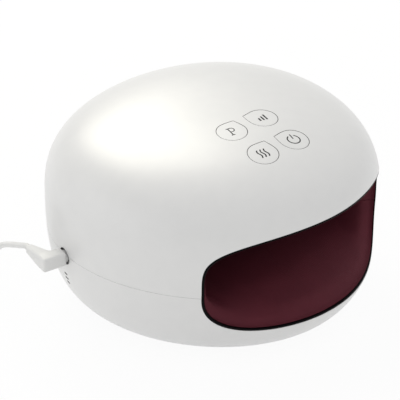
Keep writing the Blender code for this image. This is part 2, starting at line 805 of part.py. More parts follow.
def make_tray(name, side):
    outer = chamber_grid(side, LINER_INSET - TRAY_WALL, RING_DEPTH + SEAT_GAP)
    inner = chamber_grid(side, LINER_INSET, RING_DEPTH + SEAT_GAP)
    tray = add_part(name, grid_solid(name, outer, inner), satin_black)
    low = PARTING_Z + 2 * HALF_GAP if side > 0 else PARTING_Z - HALF_GAP - EAR_THICKNESS
    thickness = EAR_THICKNESS - HALF_GAP
    for number, (x, y) in enumerate(post_places(), 1):
        inwards = EAR_RADIUS + TRAY_WALL
        if abs(x) == SIDE_EAR_AT[0]:
            reach = OPENING_HALF_WIDTH - LINER_INSET + TRAY_WALL / 2
            near = (math.copysign(reach, x), y)
        else:
            near = (x, CHAMBER_BACK - inwards / 4)
        ear = add_tool(f"{name}_ear_{number}", flat_mesh(
            f"{name}_ear", ear_outline(near, (x, y)), thickness),
            Matrix.Translation((0, 0, low + thickness / 2)))
        hole = add_tool(f"{name}_ear_hole_{number}", rod_mesh(
            "ear_hole", SCREW_RADIUS + SEAT_GAP, (x, y, low - OVERRUN), (x, y, low + OVERRUN)))
        combine(tray, "UNION", ear)
        combine(tray, "DIFFERENCE", hole)
    x, y = UPPER_PORT_AT if side > 0 else LOWER_PORT_AT
    port = add_tool(f"{name}_port", rod_mesh(
        "port", PORT_RADIUS + SEAT_GAP, (x, y, PARTING_Z + side * OVERRUN),
        (x, y, PARTING_Z + side * 3 * OVERRUN)))
    combine(tray, "DIFFERENCE", port)
    return tray


def ear_outline(near, far):
    """A tongue from near the tray's wall to a round end about a screw."""
    near, far = Vector(near), Vector(far)
    along = (far - near).normalized()
    across = Vector((-along.y, along.x))
    line = [near + across * EAR_RADIUS, near - across * EAR_RADIUS]
    turns = ROUND_SIDES // 2
    for i in range(turns + 1):
        a = math.pi * i / turns
        line.append(far - across * EAR_RADIUS * math.cos(a) + along * EAR_RADIUS * math.sin(a))
    return [tuple(p) for p in line]


def make_cushion(name, side, crown):
    """A padded liner: thick and crowned in the middle, thin where it meets the ring."""
    outer = chamber_grid(side, CUSHION_INSET, CUSHION_SETBACK)
    for j, row in enumerate(outer):
        for i, place in enumerate(row):
            row[i] = lifted(place, side, stack_height(side, j, i))
    shape_rows = []
    angles = even_angles(side)
    for k in range(1, NOSE_STEPS + 1):
        inset = CUSHION_INSET + CUSHION_PAD * eased(k / NOSE_STEPS)
        setback = CUSHION_SETBACK + CUSHION_NOSE * k / NOSE_STEPS
        shape_rows.append([chamber_point(a, 0.0, inset, setback, side) for a in angles])
    inset = CUSHION_INSET + CUSHION_PAD
    setback = CUSHION_SETBACK + CUSHION_NOSE
    half_width = OPENING_HALF_WIDTH - inset
    for share in CHAMBER_DEPTH_SHARES[1:]:
        row = []
        for a in angles:
            place = chamber_point(a, share, inset, setback, side)
            across = max(0.0, 1 - (opening_xz(a, inset)[0] / half_width) ** 2) ** 2
            along = math.sin(math.pi * share**(3 / 4)) ** (1 / 2) if 0 < share < 1 else 0.0
            row.append(lifted(place, side, crown * across * along))
        shape_rows.append(row)
    mesh = sheet_solid(name, outer, shape_rows)
    return add_part(name, mesh, wine_fabric)


def sheet_solid(name, outer, inner):
    """A closed solid between two sheets that share their first row and meet in a rim."""
    shape = bmesh.new()
    columns = len(outer[0])
    first = [shape.verts.new(p) for p in outer[0]]
    back = [first] + [[shape.verts.new(p) for p in row] for row in outer[1:]]
    face = [first] + [[shape.verts.new(p) for p in row] for row in inner]
    for sheet in (back, face):
        for near, far in zip(sheet, sheet[1:]):
            for i in range(columns - 1):
                shape.faces.new((near[i], near[i + 1], far[i + 1], far[i]))
    for i in (0, columns - 1):
        edge = [row[i] for row in back] + [row[i] for row in reversed(face[1:])]
        shape.faces.new(edge)
    shape.faces.new([*back[-1], *reversed(face[-1])])
    mesh = bpy.data.meshes.new(name)
    bmesh.ops.triangulate(shape, faces=[f for f in shape.faces if len(f.verts) > 4])
    shape.to_mesh(mesh)
    shape.free()
    return weld(mesh)


def make_bladder(name, side, port):
    (first_row, last_row), (first, last) = BLADDER_ROWS, BLADDER_COLUMNS
    base = chamber_grid(side, CUSHION_INSET, CUSHION_SETBACK)
    rows = range(first_row, last_row + 1)
    columns = range(first, last + 1)
    outer = [[base[j][i] for i in columns] for j in rows]
    inner = [[lifted(base[j][i], side, bladder_lift(j, i)) for i in columns] for j in rows]
    bladder = add_part(name, grid_solid(name, outer, inner), bladder_film)
    x, y = port
    wall = OPENING_RISE if side > 0 else OPENING_DROP
    near = front_y(x, PARTING_Z + side * wall) + CUSHION_SETBACK
    depth_share = (y - near) / (CHAMBER_BACK - CUSHION_INSET - near)
    reach = (1 - depth_share**CHAMBER_DEPTH_POWER) ** (1 / CHAMBER_REACH_POWER)
    start = PARTING_Z + side * ((wall - CUSHION_INSET) * reach - BLADDER_RIM)
    end = PARTING_Z + side * (wall + PORT_LENGTH)
    neck = add_tool(f"{name}_neck", rod_mesh("neck", PORT_RADIUS, (x, y, start), (x, y, end)))
    combine(bladder, "UNION", neck)
    return bladder


def make_heater_film():
    base = chamber_grid(-1, CUSHION_INSET, CUSHION_SETBACK)
    rows = range(BLADDER_ROWS[0], BLADDER_ROWS[1] + 1)
    columns = range(BLADDER_COLUMNS[0], BLADDER_COLUMNS[1] + 1)
    low = [[lifted(base[j][i], -1, bladder_lift(j, i) + SEAT_GAP) for i in columns] for j in rows]
    high = [[lifted(p, -1, HEATER_FILM) for p in row] for row in low]
    return add_part("heater_film", grid_solid("heater_film", low, high), amber)


# Keys and control board


def key_place(name, column, row, corner):
    """Name, place and heading of a key in the plane of the key panel."""
    place = Vector((column * KEY_PITCH_X / 2, row * KEY_PITCH_Y / 2))
    place.rotate(Matrix.Rotation(KEY_TURN, 2))
    return name, place.x, place.y, math.radians(corner) + KEY_TURN


def drop_outline(grow, turn):
    """A round key with one pointed corner at turn, grown by a margin."""
    line = []
    corner = math.radians(45.0)
    count = 2 * ROUND_SIDES
    for i in range(count):
        a = math.pi * (2 * i / count - 1)
        radius = KEY_RADIUS
        if abs(a) < corner:
            side = KEY_CORNER + (KEY_RADIUS - KEY_CORNER) * math.sin(2 * abs(a))
            radius = side / math.cos(corner - abs(a))
        line.append(((radius + grow) * math.cos(a + turn), (radius + grow) * math.sin(a + turn)))
    return line


def make_key(name, x, y, turn):
    """A cap flush with the dome, a flange that keeps it in, and a stem down to its switch."""
    frame = Matrix.Translation((x, y, 0))
    depth = KEY_DEPTH - KEY_FLANGE / 2
    cap = flat_mesh(name, drop_outline(0.0, turn), depth + OVERRUN)
    cap.transform(Matrix.Translation((0, 0, (OVERRUN - depth) / 2)))
    key = add_part(name, cap, pearl, frame, panel)
    flange = flat_mesh("flange", drop_outline(KEY_FLANGE_PROUD, turn), KEY_FLANGE)
    flange.transform(Matrix.Translation((0, 0, KEY_FLANGE / 2 - KEY_DEPTH)))
    stem = rod_mesh("stem", KEY_STEM_RADIUS, (0, 0, -KEY_STEM_END), (0, 0, -KEY_FLANGE - WALL))
    flange_tool = add_tool(f"{name}_flange", flange, frame, panel)
    stem_tool = add_tool(f"{name}_stem", stem, frame, panel)
    combine(key, "INTERSECT", body_form)
    combine(key, "UNION", flange_tool, stem_tool)
    return key


def make_switches():
    for name, x, y, _ in KEYS:
        kind = name.removeprefix("key_")
        frame = Matrix.Translation((x, y, 0))
        low = -BOARD_DEPTH + SEAT_GAP
        half = SWITCH_SIDE / 2
        case = box_mesh("switch", (-half, -half, low), (half, half, low + SWITCH_HEIGHT))
        switch = add_part(f"switch_{kind}", case, satin_black, frame, panel)
        well = rod_mesh("well", KEY_STEM_RADIUS + SEAT_GAP,
                        (0, 0, -KEY_STEM_END - KEY_TRAVEL - SEAT_GAP), (0, 0, 0))
        combine(switch, "DIFFERENCE", add_tool(f"well_{kind}", well, frame, panel))


def make_key_bracket():
    half_x, half_y = BRACKET_WIDTH / 2, BRACKET_LENGTH / 2
    low = -BRACKET_DEPTH - BRACKET_THICKNESS
    plate = box_mesh("key_bracket", (-half_x, -half_y, low), (half_x, half_y, -BRACKET_DEPTH))
    bracket = add_part("key_bracket", plate, satin_black, parent=panel)
    for number, side in enumerate((-1, 1), 1):
        x = side * PANEL_SCREW_X
        spacer = rod_mesh("spacer", PANEL_BOSS_RADIUS, (x, 0, SEAT_GAP - BOARD_DEPTH),
                          (x, 0, low + BRACKET_THICKNESS / 2))
        bore = rod_mesh("bore", SCREW_RADIUS + SEAT_GAP, (x, 0, -OVERRUN), (x, 0, 0))
        combine(bracket, "UNION", add_tool(f"spacer_{number}", spacer, parent=panel))
        combine(bracket, "DIFFERENCE", add_tool(f"spacer_bore_{number}", bore, parent=panel))
    for name, x, y, _ in KEYS:
        guide = rod_mesh("guide", KEY_STEM_RADIUS + SEAT_GAP, (0, 0, -OVERRUN), (0, 0, 0))
        tool = add_tool(f"{name}_guide", guide, Matrix.Translation((x, y, 0)), panel)
        combine(bracket, "DIFFERENCE", tool)


def make_control_board():
    half_x, half_y = BRACKET_WIDTH / 2, BRACKET_LENGTH / 2
    low = -BOARD_DEPTH - BOARD_THICKNESS
    board = add_part("control_board", box_mesh(
        "control_board", (-half_x, -half_y, low), (half_x, half_y, -BOARD_DEPTH)), green,
        parent=panel)
    for number, side in enumerate((-1, 1), 1):
        x = side * PANEL_SCREW_X
        hole = rod_mesh("hole", SCREW_RADIUS + SEAT_GAP, (x, 0, low - OVERRUN), (x, 0, 0))
        combine(board, "DIFFERENCE", add_tool(f"board_hole_{number}", hole, parent=panel))
        head = low - SEAT_GAP
        make_screw(f"board_screw_{number}", (x, 0, head), (0, 0, 1),
                   BOARD_DEPTH - BRACKET_DEPTH + BOARD_THICKNESS + WALL, parent=panel)


def make_screw(name, seat, along, length, radius=SCREW_RADIUS, head=SCREW_HEAD_RADIUS, parent=None):
    """A pan head screw; seat is under its head and along points to its tip."""
    seat, along = Vector(seat), Vector(along)
    line = [(0.0, -SCREW_HEAD), (head * 3 / 4, -SCREW_HEAD), (head, -SCREW_HEAD / 2), (head, 0.0),
            (radius, 0.0), (radius, length - radius), (0.0, length)]
    mesh = bpy.data.meshes.new(name)
    mesh.from_pydata([(r, 0, z) for r, z in line], [(i, i + 1) for i in range(len(line) - 1)], [])
    holder = bpy.data.objects.new(name, mesh)
    tools.objects.link(holder)
    turn = holder.modifiers.new("Turn", "SCREW")
    turn.steps = turn.render_steps = ROUND_SIDES * 2 // 3
    turn.use_merge_vertices = True
    turn.merge_threshold = MERGE
    turned = weld(evaluated_mesh(holder))
    rotation = Vector((0, 0, 1)).rotation_difference(along).to_matrix().to_4x4()
    return add_part(name, turned, steel, Matrix.Translation(seat) @ rotation, parent)


# Rear frame, cells, pump and valves


def make_rear_frame():
    low, top = FRAME_FOOT_Z, FRAME_TOP
    shelf_back = PUMP_Y + MOTOR_RADIUS
    frame = add_part("rear_frame", box_mesh(
        "rear_frame", (-FRAME_HALF_WIDTH, FRAME_FRONT_Y, low),
        (FRAME_HALF_WIDTH, CELL_Y, top)), satin_black)
    foot_x, foot_y = FRAME_FOOT_AT
    foot = add_tool("frame_foot", box_mesh(
        "frame_foot", (-foot_x - EAR_RADIUS, FRAME_FRONT_Y, low),
        (foot_x + EAR_RADIUS, CELL_Y, low + FRAME_FOOT)))
    shelf = add_tool("frame_shelf", box_mesh(
        "frame_shelf", (-FRAME_HALF_WIDTH, FRAME_FRONT_Y, top - FRAME_SHELF),
        (FRAME_HALF_WIDTH, shelf_back, top)))
    saddle_end = PUMP_JOINT_X - SEAT_GAP - SADDLE_WALL
    saddle = add_tool("frame_saddle", box_mesh(
        "frame_saddle", (saddle_end - SADDLE_LENGTH, PUMP_Y - MOTOR_RADIUS - SADDLE_WALL / 2,
                         top - FRAME_SHELF / 2),
        (saddle_end, PUMP_Y + MOTOR_RADIUS + SADDLE_WALL / 2, PUMP_Z)))
    combine(frame, "UNION", foot, shelf, saddle)
    seat = add_tool("saddle_seat", rod_mesh(
        "saddle_seat", MOTOR_RADIUS + SEAT_GAP, (saddle_end - SADDLE_LENGTH - OVERRUN, PUMP_Y, PUMP_Z),
        (saddle_end + OVERRUN, PUMP_Y, PUMP_Z), sides=2 * ROUND_SIDES))
    combine(frame, "DIFFERENCE", seat)
    for number in range(2):
        z = CELL_LOW_Z + number * CELL_PITCH
        trough = add_tool(f"trough_{number + 1}", rod_mesh(
            "trough", CELL_RADIUS + SEAT_GAP, (-CELL_LENGTH / 2 - SEAT_GAP, CELL_Y, z),
            (CELL_LENGTH / 2 + SEAT_GAP, CELL_Y, z), sides=2 * ROUND_SIDES))
        combine(frame, "DIFFERENCE", trough)
    half = CELL_LENGTH / 2
    low_cell, high_cell = [rod_mesh(
        "cell", CELL_RADIUS, (-half, CELL_Y, z), (half, CELL_Y, z), sides=2 * ROUND_SIDES)
        for z in (CELL_LOW_Z, CELL_LOW_Z + CELL_PITCH)]
    pack = add_part("battery_pack", low_cell, cell_blue)
    sleeve = box_mesh("sleeve", (-half + CELL_RADIUS, CELL_Y + SEAT_GAP, CELL_LOW_Z),
                      (half - CELL_RADIUS, CELL_Y + CELL_RADIUS, CELL_LOW_Z + CELL_PITCH))
    combine(pack, "UNION", add_tool("high_cell", high_cell), add_tool("sleeve", sleeve))
    for number, (x, y) in enumerate(mirrored(FRAME_FOOT_AT), 1):
        hole = add_tool(f"frame_hole_{number}", rod_mesh(
            "frame_hole", SCREW_RADIUS + SEAT_GAP, (x, y, 0), (x, y, OVERRUN)))
        combine(frame, "DIFFERENCE", hole)
        seat_z = low + FRAME_FOOT + SEAT_GAP
        make_screw(f"frame_screw_{number}", (x, y, seat_z), (0, 0, -1), FRAME_FOOT + WALL)


def make_pump():
    joint = PUMP_JOINT_X
    motor = add_part("pump_motor", rod_mesh(
        "pump_motor", MOTOR_RADIUS, (joint - MOTOR_LENGTH, PUMP_Y, PUMP_Z),
        (joint - HALF_GAP, PUMP_Y, PUMP_Z), sides=2 * ROUND_SIDES), steel)
    shaft_end = joint - SHAFT_LENGTH
    combine(motor, "DIFFERENCE", add_tool("shaft_bore", rod_mesh(
        "shaft_bore", SHAFT_RADIUS + SHAFT_GAP, (shaft_end - SEAT_GAP, PUMP_Y, PUMP_Z),
        (joint + OVERRUN, PUMP_Y, PUMP_Z))))
    head_end = joint + PUMP_HEAD_LENGTH
    head = add_part("pump_head", rod_mesh(
        "pump_head", PUMP_HEAD_RADIUS, (joint + HALF_GAP, PUMP_Y, PUMP_Z),
        (head_end, PUMP_Y, PUMP_Z), sides=2 * ROUND_SIDES), satin_black)
    room = CRANK_LENGTH + ROTOR_LENGTH + 4 * SEAT_GAP
    chamber = add_tool("crank_room", rod_mesh(
        "crank_room", PUMP_HEAD_RADIUS - PUMP_HEAD_WALL, (joint - OVERRUN, PUMP_Y, PUMP_Z),
        (joint + room, PUMP_Y, PUMP_Z), sides=2 * ROUND_SIDES))
    nozzle_x = head_end - 2 * PUMP_HEAD_WALL
    nozzle = add_tool("pump_nozzle", rod_mesh(
        "pump_nozzle", NOZZLE_RADIUS, (nozzle_x, PUMP_Y, PUMP_Z + PUMP_HEAD_RADIUS - PUMP_HEAD_WALL / 2),
        (nozzle_x, PUMP_Y, PUMP_Z + PUMP_HEAD_RADIUS + NOZZLE_LENGTH)))
    combine(head, "DIFFERENCE", chamber)
    combine(head, "UNION", nozzle)
    centre = Matrix.Translation((joint, PUMP_Y, PUMP_Z))
    start = 2 * SEAT_GAP
    rotor = add_part("pump_rotor", rod_mesh(
        "pump_rotor", SHAFT_RADIUS, (-SHAFT_LENGTH, 0, 0), (start + ROTOR_LENGTH / 2, 0, 0)),
        brass, centre)
    disc = add_tool("rotor_disc", rod_mesh(
        "rotor_disc", ROTOR_RADIUS, (start, 0, 0), (start + ROTOR_LENGTH, 0, 0)), centre)
    crank = add_tool("rotor_crank", rod_mesh(
        "rotor_crank", CRANK_RADIUS, (start + ROTOR_LENGTH / 2, 0, -CRANK_OFFSET),
        (start + ROTOR_LENGTH + CRANK_LENGTH, 0, -CRANK_OFFSET)), centre)
    combine(rotor, "UNION", disc, crank)


def make_valves():
    base = FRAME_TOP + SEAT_GAP
    top = base + VALVE_HEIGHT
    half = VALVE_SIDE / 2
    for kind, x in zip(("upper", "lower"), VALVE_XS):
        case = box_mesh("valve", (x - half, VALVE_Y - half, base), (x + half, VALVE_Y + half, top))
        valve = add_part(f"valve_{kind}", case, steel)
        end = base + PLUNGER_TRAVEL + 2 * SEAT_GAP
        well = rod_mesh("well", PLUNGER_RADIUS + PLUNGER_GAP, (x, VALVE_Y, end - PLUNGER_TRAVEL),
                        (x, VALVE_Y, top + OVERRUN))
        combine(valve, "DIFFERENCE", add_tool(f"valve_well_{kind}", well))
        plunger = rod_mesh("plunger", PLUNGER_RADIUS, (0, 0, 0), (0, 0, top - end - SEAT_GAP))
        add_part(f"plunger_{kind}", plunger, brass, Matrix.Translation((x, VALVE_Y, end + SEAT_GAP)))
    low_x, high_x = VALVE_XS[0] - half, VALVE_XS[1] + half
    floor = top + SEAT_GAP
    manifold = add_part("air_manifold", box_mesh(
        "air_manifold", (low_x, VALVE_Y - half, floor), (high_x, VALVE_Y + half, floor + MANIFOLD_HEIGHT)),
        satin_black)
    for kind, x in zip(("upper", "lower"), VALVE_XS):
        room = rod_mesh("room", PLUNGER_RADIUS + SEAT_GAP, (x, VALVE_Y, floor - OVERRUN),
                        (x, VALVE_Y, floor + PLUNGER_TRAVEL + SEAT_GAP))
        combine(manifold, "DIFFERENCE", add_tool(f"manifold_room_{kind}", room))
    z = manifold_nozzle_z()
    y = VALVE_Y - half
    stubs = [((x, y + PUMP_HEAD_WALL, z), (x, y - NOZZLE_LENGTH, z)) for x in VALVE_XS]
    block_x = sum(VALVE_XS) / 2
    stubs.append(((block_x, VALVE_Y, z), (block_x, VALVE_Y, z + MANIFOLD_HEIGHT / 3 + NOZZLE_LENGTH)))
    for number, (start, end) in enumerate(stubs, 1):
        combine(manifold, "UNION", add_tool(f"manifold_stub_{number}", rod_mesh(
            "stub", NOZZLE_RADIUS, start, end)))


def manifold_nozzle_z():
    base = FRAME_TOP + SEAT_GAP
    return base + VALVE_HEIGHT + SEAT_GAP + MANIFOLD_HEIGHT * 2 / 3


def make_tubes():
    """Air tubes from nozzle to nozzle, solid here, each a gap away from what it fits."""
    z = manifold_nozzle_z()
    front = VALVE_Y - VALVE_SIDE / 2 - NOZZLE_LENGTH - SEAT_GAP
    up_x, up_y = UPPER_PORT_AT
    low_x, low_y = LOWER_PORT_AT
    neck_top = PARTING_Z + OPENING_RISE + PORT_LENGTH + SEAT_GAP
    neck_low = PARTING_Z - OPENING_DROP - PORT_LENGTH - SEAT_GAP
    r = TUBE_RADIUS
    pump_x = PUMP_JOINT_X + PUMP_HEAD_LENGTH - 2 * PUMP_HEAD_WALL
    pump_top = PUMP_Z + PUMP_HEAD_RADIUS + NOZZLE_LENGTH + SEAT_GAP
    block_x = sum(VALVE_XS) / 2
    block_top = z + MANIFOLD_HEIGHT / 3 + NOZZLE_LENGTH + SEAT_GAP
    arch = pump_top + 4 * r
    supply = [
        (pump_x, PUMP_Y, pump_top),
        (pump_x, PUMP_Y, pump_top + r),
        (pump_x + r, PUMP_Y, arch - r),
        ((pump_x + block_x) / 2, (PUMP_Y + VALVE_Y) / 2, arch),
        (block_x - r, VALVE_Y, arch - r),
        (block_x, VALVE_Y, block_top + 2 * r),
        (block_x, VALVE_Y, block_top),
    ]
    behind = (CHAMBER_BACK + FRAME_FRONT_Y) / 2
    upper = [
        (VALVE_XS[0], front, z),
        (VALVE_XS[0], front - r, z),
        (VALVE_XS[0], behind, z + 5 * r),
        (up_x, CHAMBER_BACK, neck_top - r),
        (up_x, (CHAMBER_BACK + up_y) / 2 + 2 * r, neck_top + 3 * r),
        (up_x, up_y + 3 * r, neck_top + 3 * r),
        (up_x, up_y, neck_top + r),
        (up_x, up_y, neck_top),
    ]
    side_x = (BACK_EAR_AT[0] + TOWER_AT[0]) / 2
    lower = [
        (VALVE_XS[1], front, z),
        (VALVE_XS[1], front - r, z),
        (side_x, behind, z - 6 * r),
        (side_x, behind, PARTING_Z - 3 * r),
        (side_x, behind - r / 2, neck_low + 5 * r),
        ((side_x + low_x) / 2, CHAMBER_BACK - 3 * r, neck_low - r),
        (low_x, low_y + 4 * r, neck_low - 2 * r),
        (low_x, low_y + r / 2, neck_low - 2 * r),
        (low_x, low_y, neck_low - r),
        (low_x, low_y, neck_low),
    ]
    for name, line in (("supply_tube", supply), ("upper_tube", upper), ("lower_tube", lower)):
        bent = smooth_line(line[1:-1], 3 * r)
        tube_part(name, [line[0], *bent, line[-1]], r, clear, resolution=1)


def make_boards_and_lead():
    (x0, y0), (x1, y1) = MAIN_BOARD_LOW, MAIN_BOARD_HIGH
    top = MAIN_BOARD_Z + BOARD_THICKNESS
    board = add_part("main_board", box_mesh(
        "main_board", (x0, y0, MAIN_BOARD_Z), (x1, y1, top)), green)
    for number, (x, y, wide, long, tall) in enumerate(CHIP_SHARES, 1):
        corner = (x0 + (x1 - x0) * x, y0 + (y1 - y0) * y)
        far = (corner[0] + (x1 - x0) * wide, corner[1] + (y1 - y0) * long)
        chip = box_mesh("chip", (*corner, top - BOARD_THICKNESS / 2), (*far, top + CHIP_HEIGHT * tall))
        combine(board, "UNION", add_tool(f"chip_{number}", chip))
    width, length, height = LEAD_PLUG_SIZE
    plug = box_mesh("plug", (x0 + HALF_GAP, -length / 2, top - BOARD_THICKNESS / 2),
                    (x0 + width, length / 2, top + height))
    plug.transform(Matrix.Translation((0, LEAD_PLUG_Y, 0)))
    combine(board, "UNION", add_tool("main_board_plug", plug))
    for number, (x, y) in enumerate(board_screws(), 1):
        hole = rod_mesh("hole", SCREW_RADIUS + SEAT_GAP, (x, y, 0), (x, y, OVERRUN))
        combine(board, "DIFFERENCE", add_tool(f"main_hole_{number}", hole))
        make_screw(f"main_screw_{number}", (x, y, top + SEAT_GAP), (0, 0, -1),
                   BOARD_THICKNESS + WALL)
    low = -BOARD_DEPTH - BOARD_THICKNESS
    socket = box_mesh("socket", (-BRACKET_WIDTH / 2 + HALF_GAP, -length, low - height),
                      (-BRACKET_WIDTH / 2 + width, 0, low + BOARD_THICKNESS / 2))
    socket.transform(Matrix.Translation((0, -LEAD_PLUG_SIZE[0], 0)))
    combine(bpy.data.objects["control_board"], "UNION",
            add_tool("control_socket", socket, parent=panel))
    start = panel_matrix @ Vector((
        -BRACKET_WIDTH / 2 - SEAT_GAP, -width - length / 2, low - height / 2))
    end = Vector((x0 - SEAT_GAP, LEAD_PLUG_Y, top + height / 2))
    side_x, side_y = -SIDE_EAR_AT[0], 2 * SIDE_EAR_AT[1] - EAR_RADIUS
    line = [
        start,
        start + Vector((-3 * LEAD_RADIUS, 0, 0)),
        Vector(((start.x * 2 + side_x) / 3, start.y + LEAD_RADIUS, start.z - 2 * LEAD_RADIUS)),
        Vector(((start.x + side_x * 3) / 4, (start.y + side_y) / 2, PARTING_Z + OPENING_RISE * 7 / 8)),
        Vector((side_x + 2 * LEAD_RADIUS, side_y - LEAD_RADIUS, PARTING_Z + OPENING_RISE / 2)),
        Vector((side_x + LEAD_RADIUS, side_y, PARTING_Z)),
        Vector((side_x + 3 * LEAD_RADIUS, side_y, PARTING_Z - OPENING_DROP * 2 / 3)),
        Vector(((side_x + end.x) / 2, (side_y + end.y) / 2, end.z + 3 * LEAD_RADIUS)),
        end + Vector((-3 * LEAD_RADIUS, 0, 0)),
        end,
    ]
    tube_part("control_lead", smooth_line(line, 6 * LEAD_RADIUS), LEAD_RADIUS, satin_black, resolution=1)


def board_screws():
    """Two opposite corners of the main board, each over a post of the lower shell."""
    (x0, y0), (x1, y1) = MAIN_BOARD_LOW, MAIN_BOARD_HIGH
    inset = MAIN_BOARD_HOLE_INSET
    return [(x0 + inset, y0 + inset), (x1 - inset, y1 - inset)]


# Socket, plug and lead


def wall_heading(angle):
    """Heading of the wall's outward direction, seen from above."""
    small = WALL / BODY_HALF_WIDTH
    along = wall_point(angle + small, PARTING_HEIGHT) - wall_point(angle - small, PARTING_HEIGHT)
    return math.atan2(-along.x, along.y)


def socket_frame():
    """At the wall, with +X pointing straight out of the socket."""
    place = Matrix.Translation(wall_point(JACK_ANGLE, JACK_HEIGHT))
    return place @ Matrix.Rotation(wall_heading(JACK_ANGLE), 4, "Z")


def make_jack():
    frame = socket_frame()
    half = JACK_WIDTH / 2
    front = -WALL - JACK_SETBACK
    jack = add_part("dc_jack", box_mesh(
        "dc_jack", (front - JACK_LENGTH, -half, -half), (front, half, half)), satin_black, frame)
    nose = rod_mesh("nose", JACK_HOLE_RADIUS - SEAT_GAP, (front - WALL, 0, 0), (-JACK_NOSE_DEPTH, 0, 0),
                    sides=2 * ROUND_SIDES)
    bore = rod_mesh("bore", JACK_BORE_RADIUS, (-JACK_NOSE_DEPTH - JACK_BORE, 0, 0), (OVERRUN, 0, 0),
                    sides=2 * ROUND_SIDES)
    pin = rod_mesh("pin", JACK_PIN_RADIUS, (-JACK_NOSE_DEPTH - JACK_BORE - WALL, 0, 0),
                   (-JACK_NOSE_DEPTH - WALL / 2, 0, 0))
    combine(jack, "UNION", add_tool("jack_nose", nose, frame))
    combine(jack, "DIFFERENCE", add_tool("jack_bore", bore, frame))
    combine(jack, "UNION", add_tool("jack_pin", pin, frame))


def make_plug():
    """A square arm out of the socket and a leg that tapers and droops towards the lead."""
    frame = socket_frame()
    half_w, half_h = PLUG_WIDTH / 2, PLUG_HEIGHT / 2
    arm = box_mesh("cord_plug", (PLUG_STAND_OFF, -half_w, -half_h), (PLUG_ARM + half_w, half_w, half_h))
    leg = box_mesh("plug_leg", (-half_w, -PLUG_LEG, -half_h), (half_w, 0, half_h))
    for vertex in leg.vertices:
        if vertex.co.y < -PLUG_LEG / 2:
            vertex.co.x *= PLUG_TIP_WIDTH / PLUG_WIDTH
            vertex.co.z = vertex.co.z * PLUG_TIP_HEIGHT / PLUG_HEIGHT - PLUG_DROOP
    leg.transform(Matrix.Translation((PLUG_ARM, 0, 0)))
    plug = add_part("cord_plug", arm, cord_white, frame)
    combine(plug, "UNION", add_tool("plug_leg", leg, frame))
    rounding = plug.modifiers.new("Round edges", "BEVEL")
    rounding.width = PLUG_ROUND
    rounding.segments = 2
    rounding.limit_method = "ANGLE"
    collar = rod_mesh("plug_collar", PLUG_COLLAR_RADIUS, (SEAT_GAP - JACK_NOSE_DEPTH, 0, 0),
                      (PLUG_ARM / 2, 0, 0), sides=2 * ROUND_SIDES)
    combine(plug, "UNION", add_tool("plug_collar", collar, frame))
    barrel = rod_mesh("plug_barrel", BARREL_RADIUS, (-JACK_NOSE_DEPTH - BARREL_LENGTH, 0, 0),
                      (-JACK_NOSE_DEPTH, 0, 0), sides=2 * ROUND_SIDES)
    metal = add_part("plug_barrel", barrel, steel, frame)
    hole = rod_mesh("barrel_hole", BARREL_BORE_RADIUS, (-OVERRUN, 0, 0),
                    (-JACK_NOSE_DEPTH - WALL / 4, 0, 0))
    combine(metal, "DIFFERENCE", add_tool("barrel_hole", hole, frame))


def cord_start():
    return socket_frame() @ Vector((PLUG_ARM, -PLUG_LEG - SEAT_GAP, -PLUG_DROOP))


def coil_points():
    """Turns that spiral in on the first layer and out on the second, as one line."""
    turns = COIL_LAYERS * COIL_TURNS_A_LAYER
    low = TIE_THICKNESS + SEAT_GAP + CORD_RADIUS
    line = []
    for i in range(turns * COIL_STEPS + 1):
        turned = i / COIL_STEPS
        layer = min(COIL_LAYERS - 1, int(turned // COIL_TURNS_A_LAYER))
        within = turned - layer * COIL_TURNS_A_LAYER
        if layer % 2 == 0:
            within = COIL_TURNS_A_LAYER - within
        radius = COIL_INNER_RADIUS + COIL_PITCH * within
        climb = 0.0
        for reversal in range(1, COIL_LAYERS):
            climb += eased((turned - reversal * COIL_TURNS_A_LAYER) * 2 + 1 / 2)
        a = 2 * math.pi * turned
        line.append(Vector((COIL_CENTRE[0] + radius * math.cos(a),
                            COIL_CENTRE[1] + radius * math.sin(a), low + COIL_PITCH * climb)))
    straight = Vector((0, 2 * CORD_RADIUS, 0))
    tail = smooth_line([line[-1] + Vector(p) for p in TAIL_ROUTE], 4 * CORD_RADIUS)
    return [line[0] - straight, *line, *tail[1:]]


def least_gap(line):
    """Least room between turns of a tube, from the distances between its points."""
    least = math.inf
    for i, a in enumerate(line):
        for b in line[i + COIL_STEPS // 2:]:
            least = min(least, (a - b).length)
    return least - 2 * CORD_RADIUS


def run_length(line):
    return sum((b - a).length for a, b in zip(line, line[1:]))


def make_cord():
    exit_point = cord_start()
    coil = coil_points()
    route = [exit_point + Vector(p) for p in CORD_ROUTE]
    lead_in = coil[0] - Vector((0, SEAT_GAP, 0))
    route += [lead_in - Vector((0, 4 * CORD_RADIUS, 0)), lead_in]
    free = [route[0], *smooth_line(route[1:-1], 5 * CORD_RADIUS), route[-1]]
    tube_part("cord", free, CORD_RADIUS, cord_white)
    tube_part("cord_coil", coil, CORD_RADIUS, cord_white, resolution=1)
    gap = least_gap(coil)
    print(f"coil: least gap to itself {gap * 1000:.2f} mm")
    if gap <= LEAST_CORD_GAP:
        raise ValueError("the coil's turns lie too close")
    print(f"cord: {run_length(free):.4f} m free, {run_length(coil):.4f} m coiled with its tail")
    make_tie()
    make_usb_plug(coil[-1], coil[-1] - coil[-2])


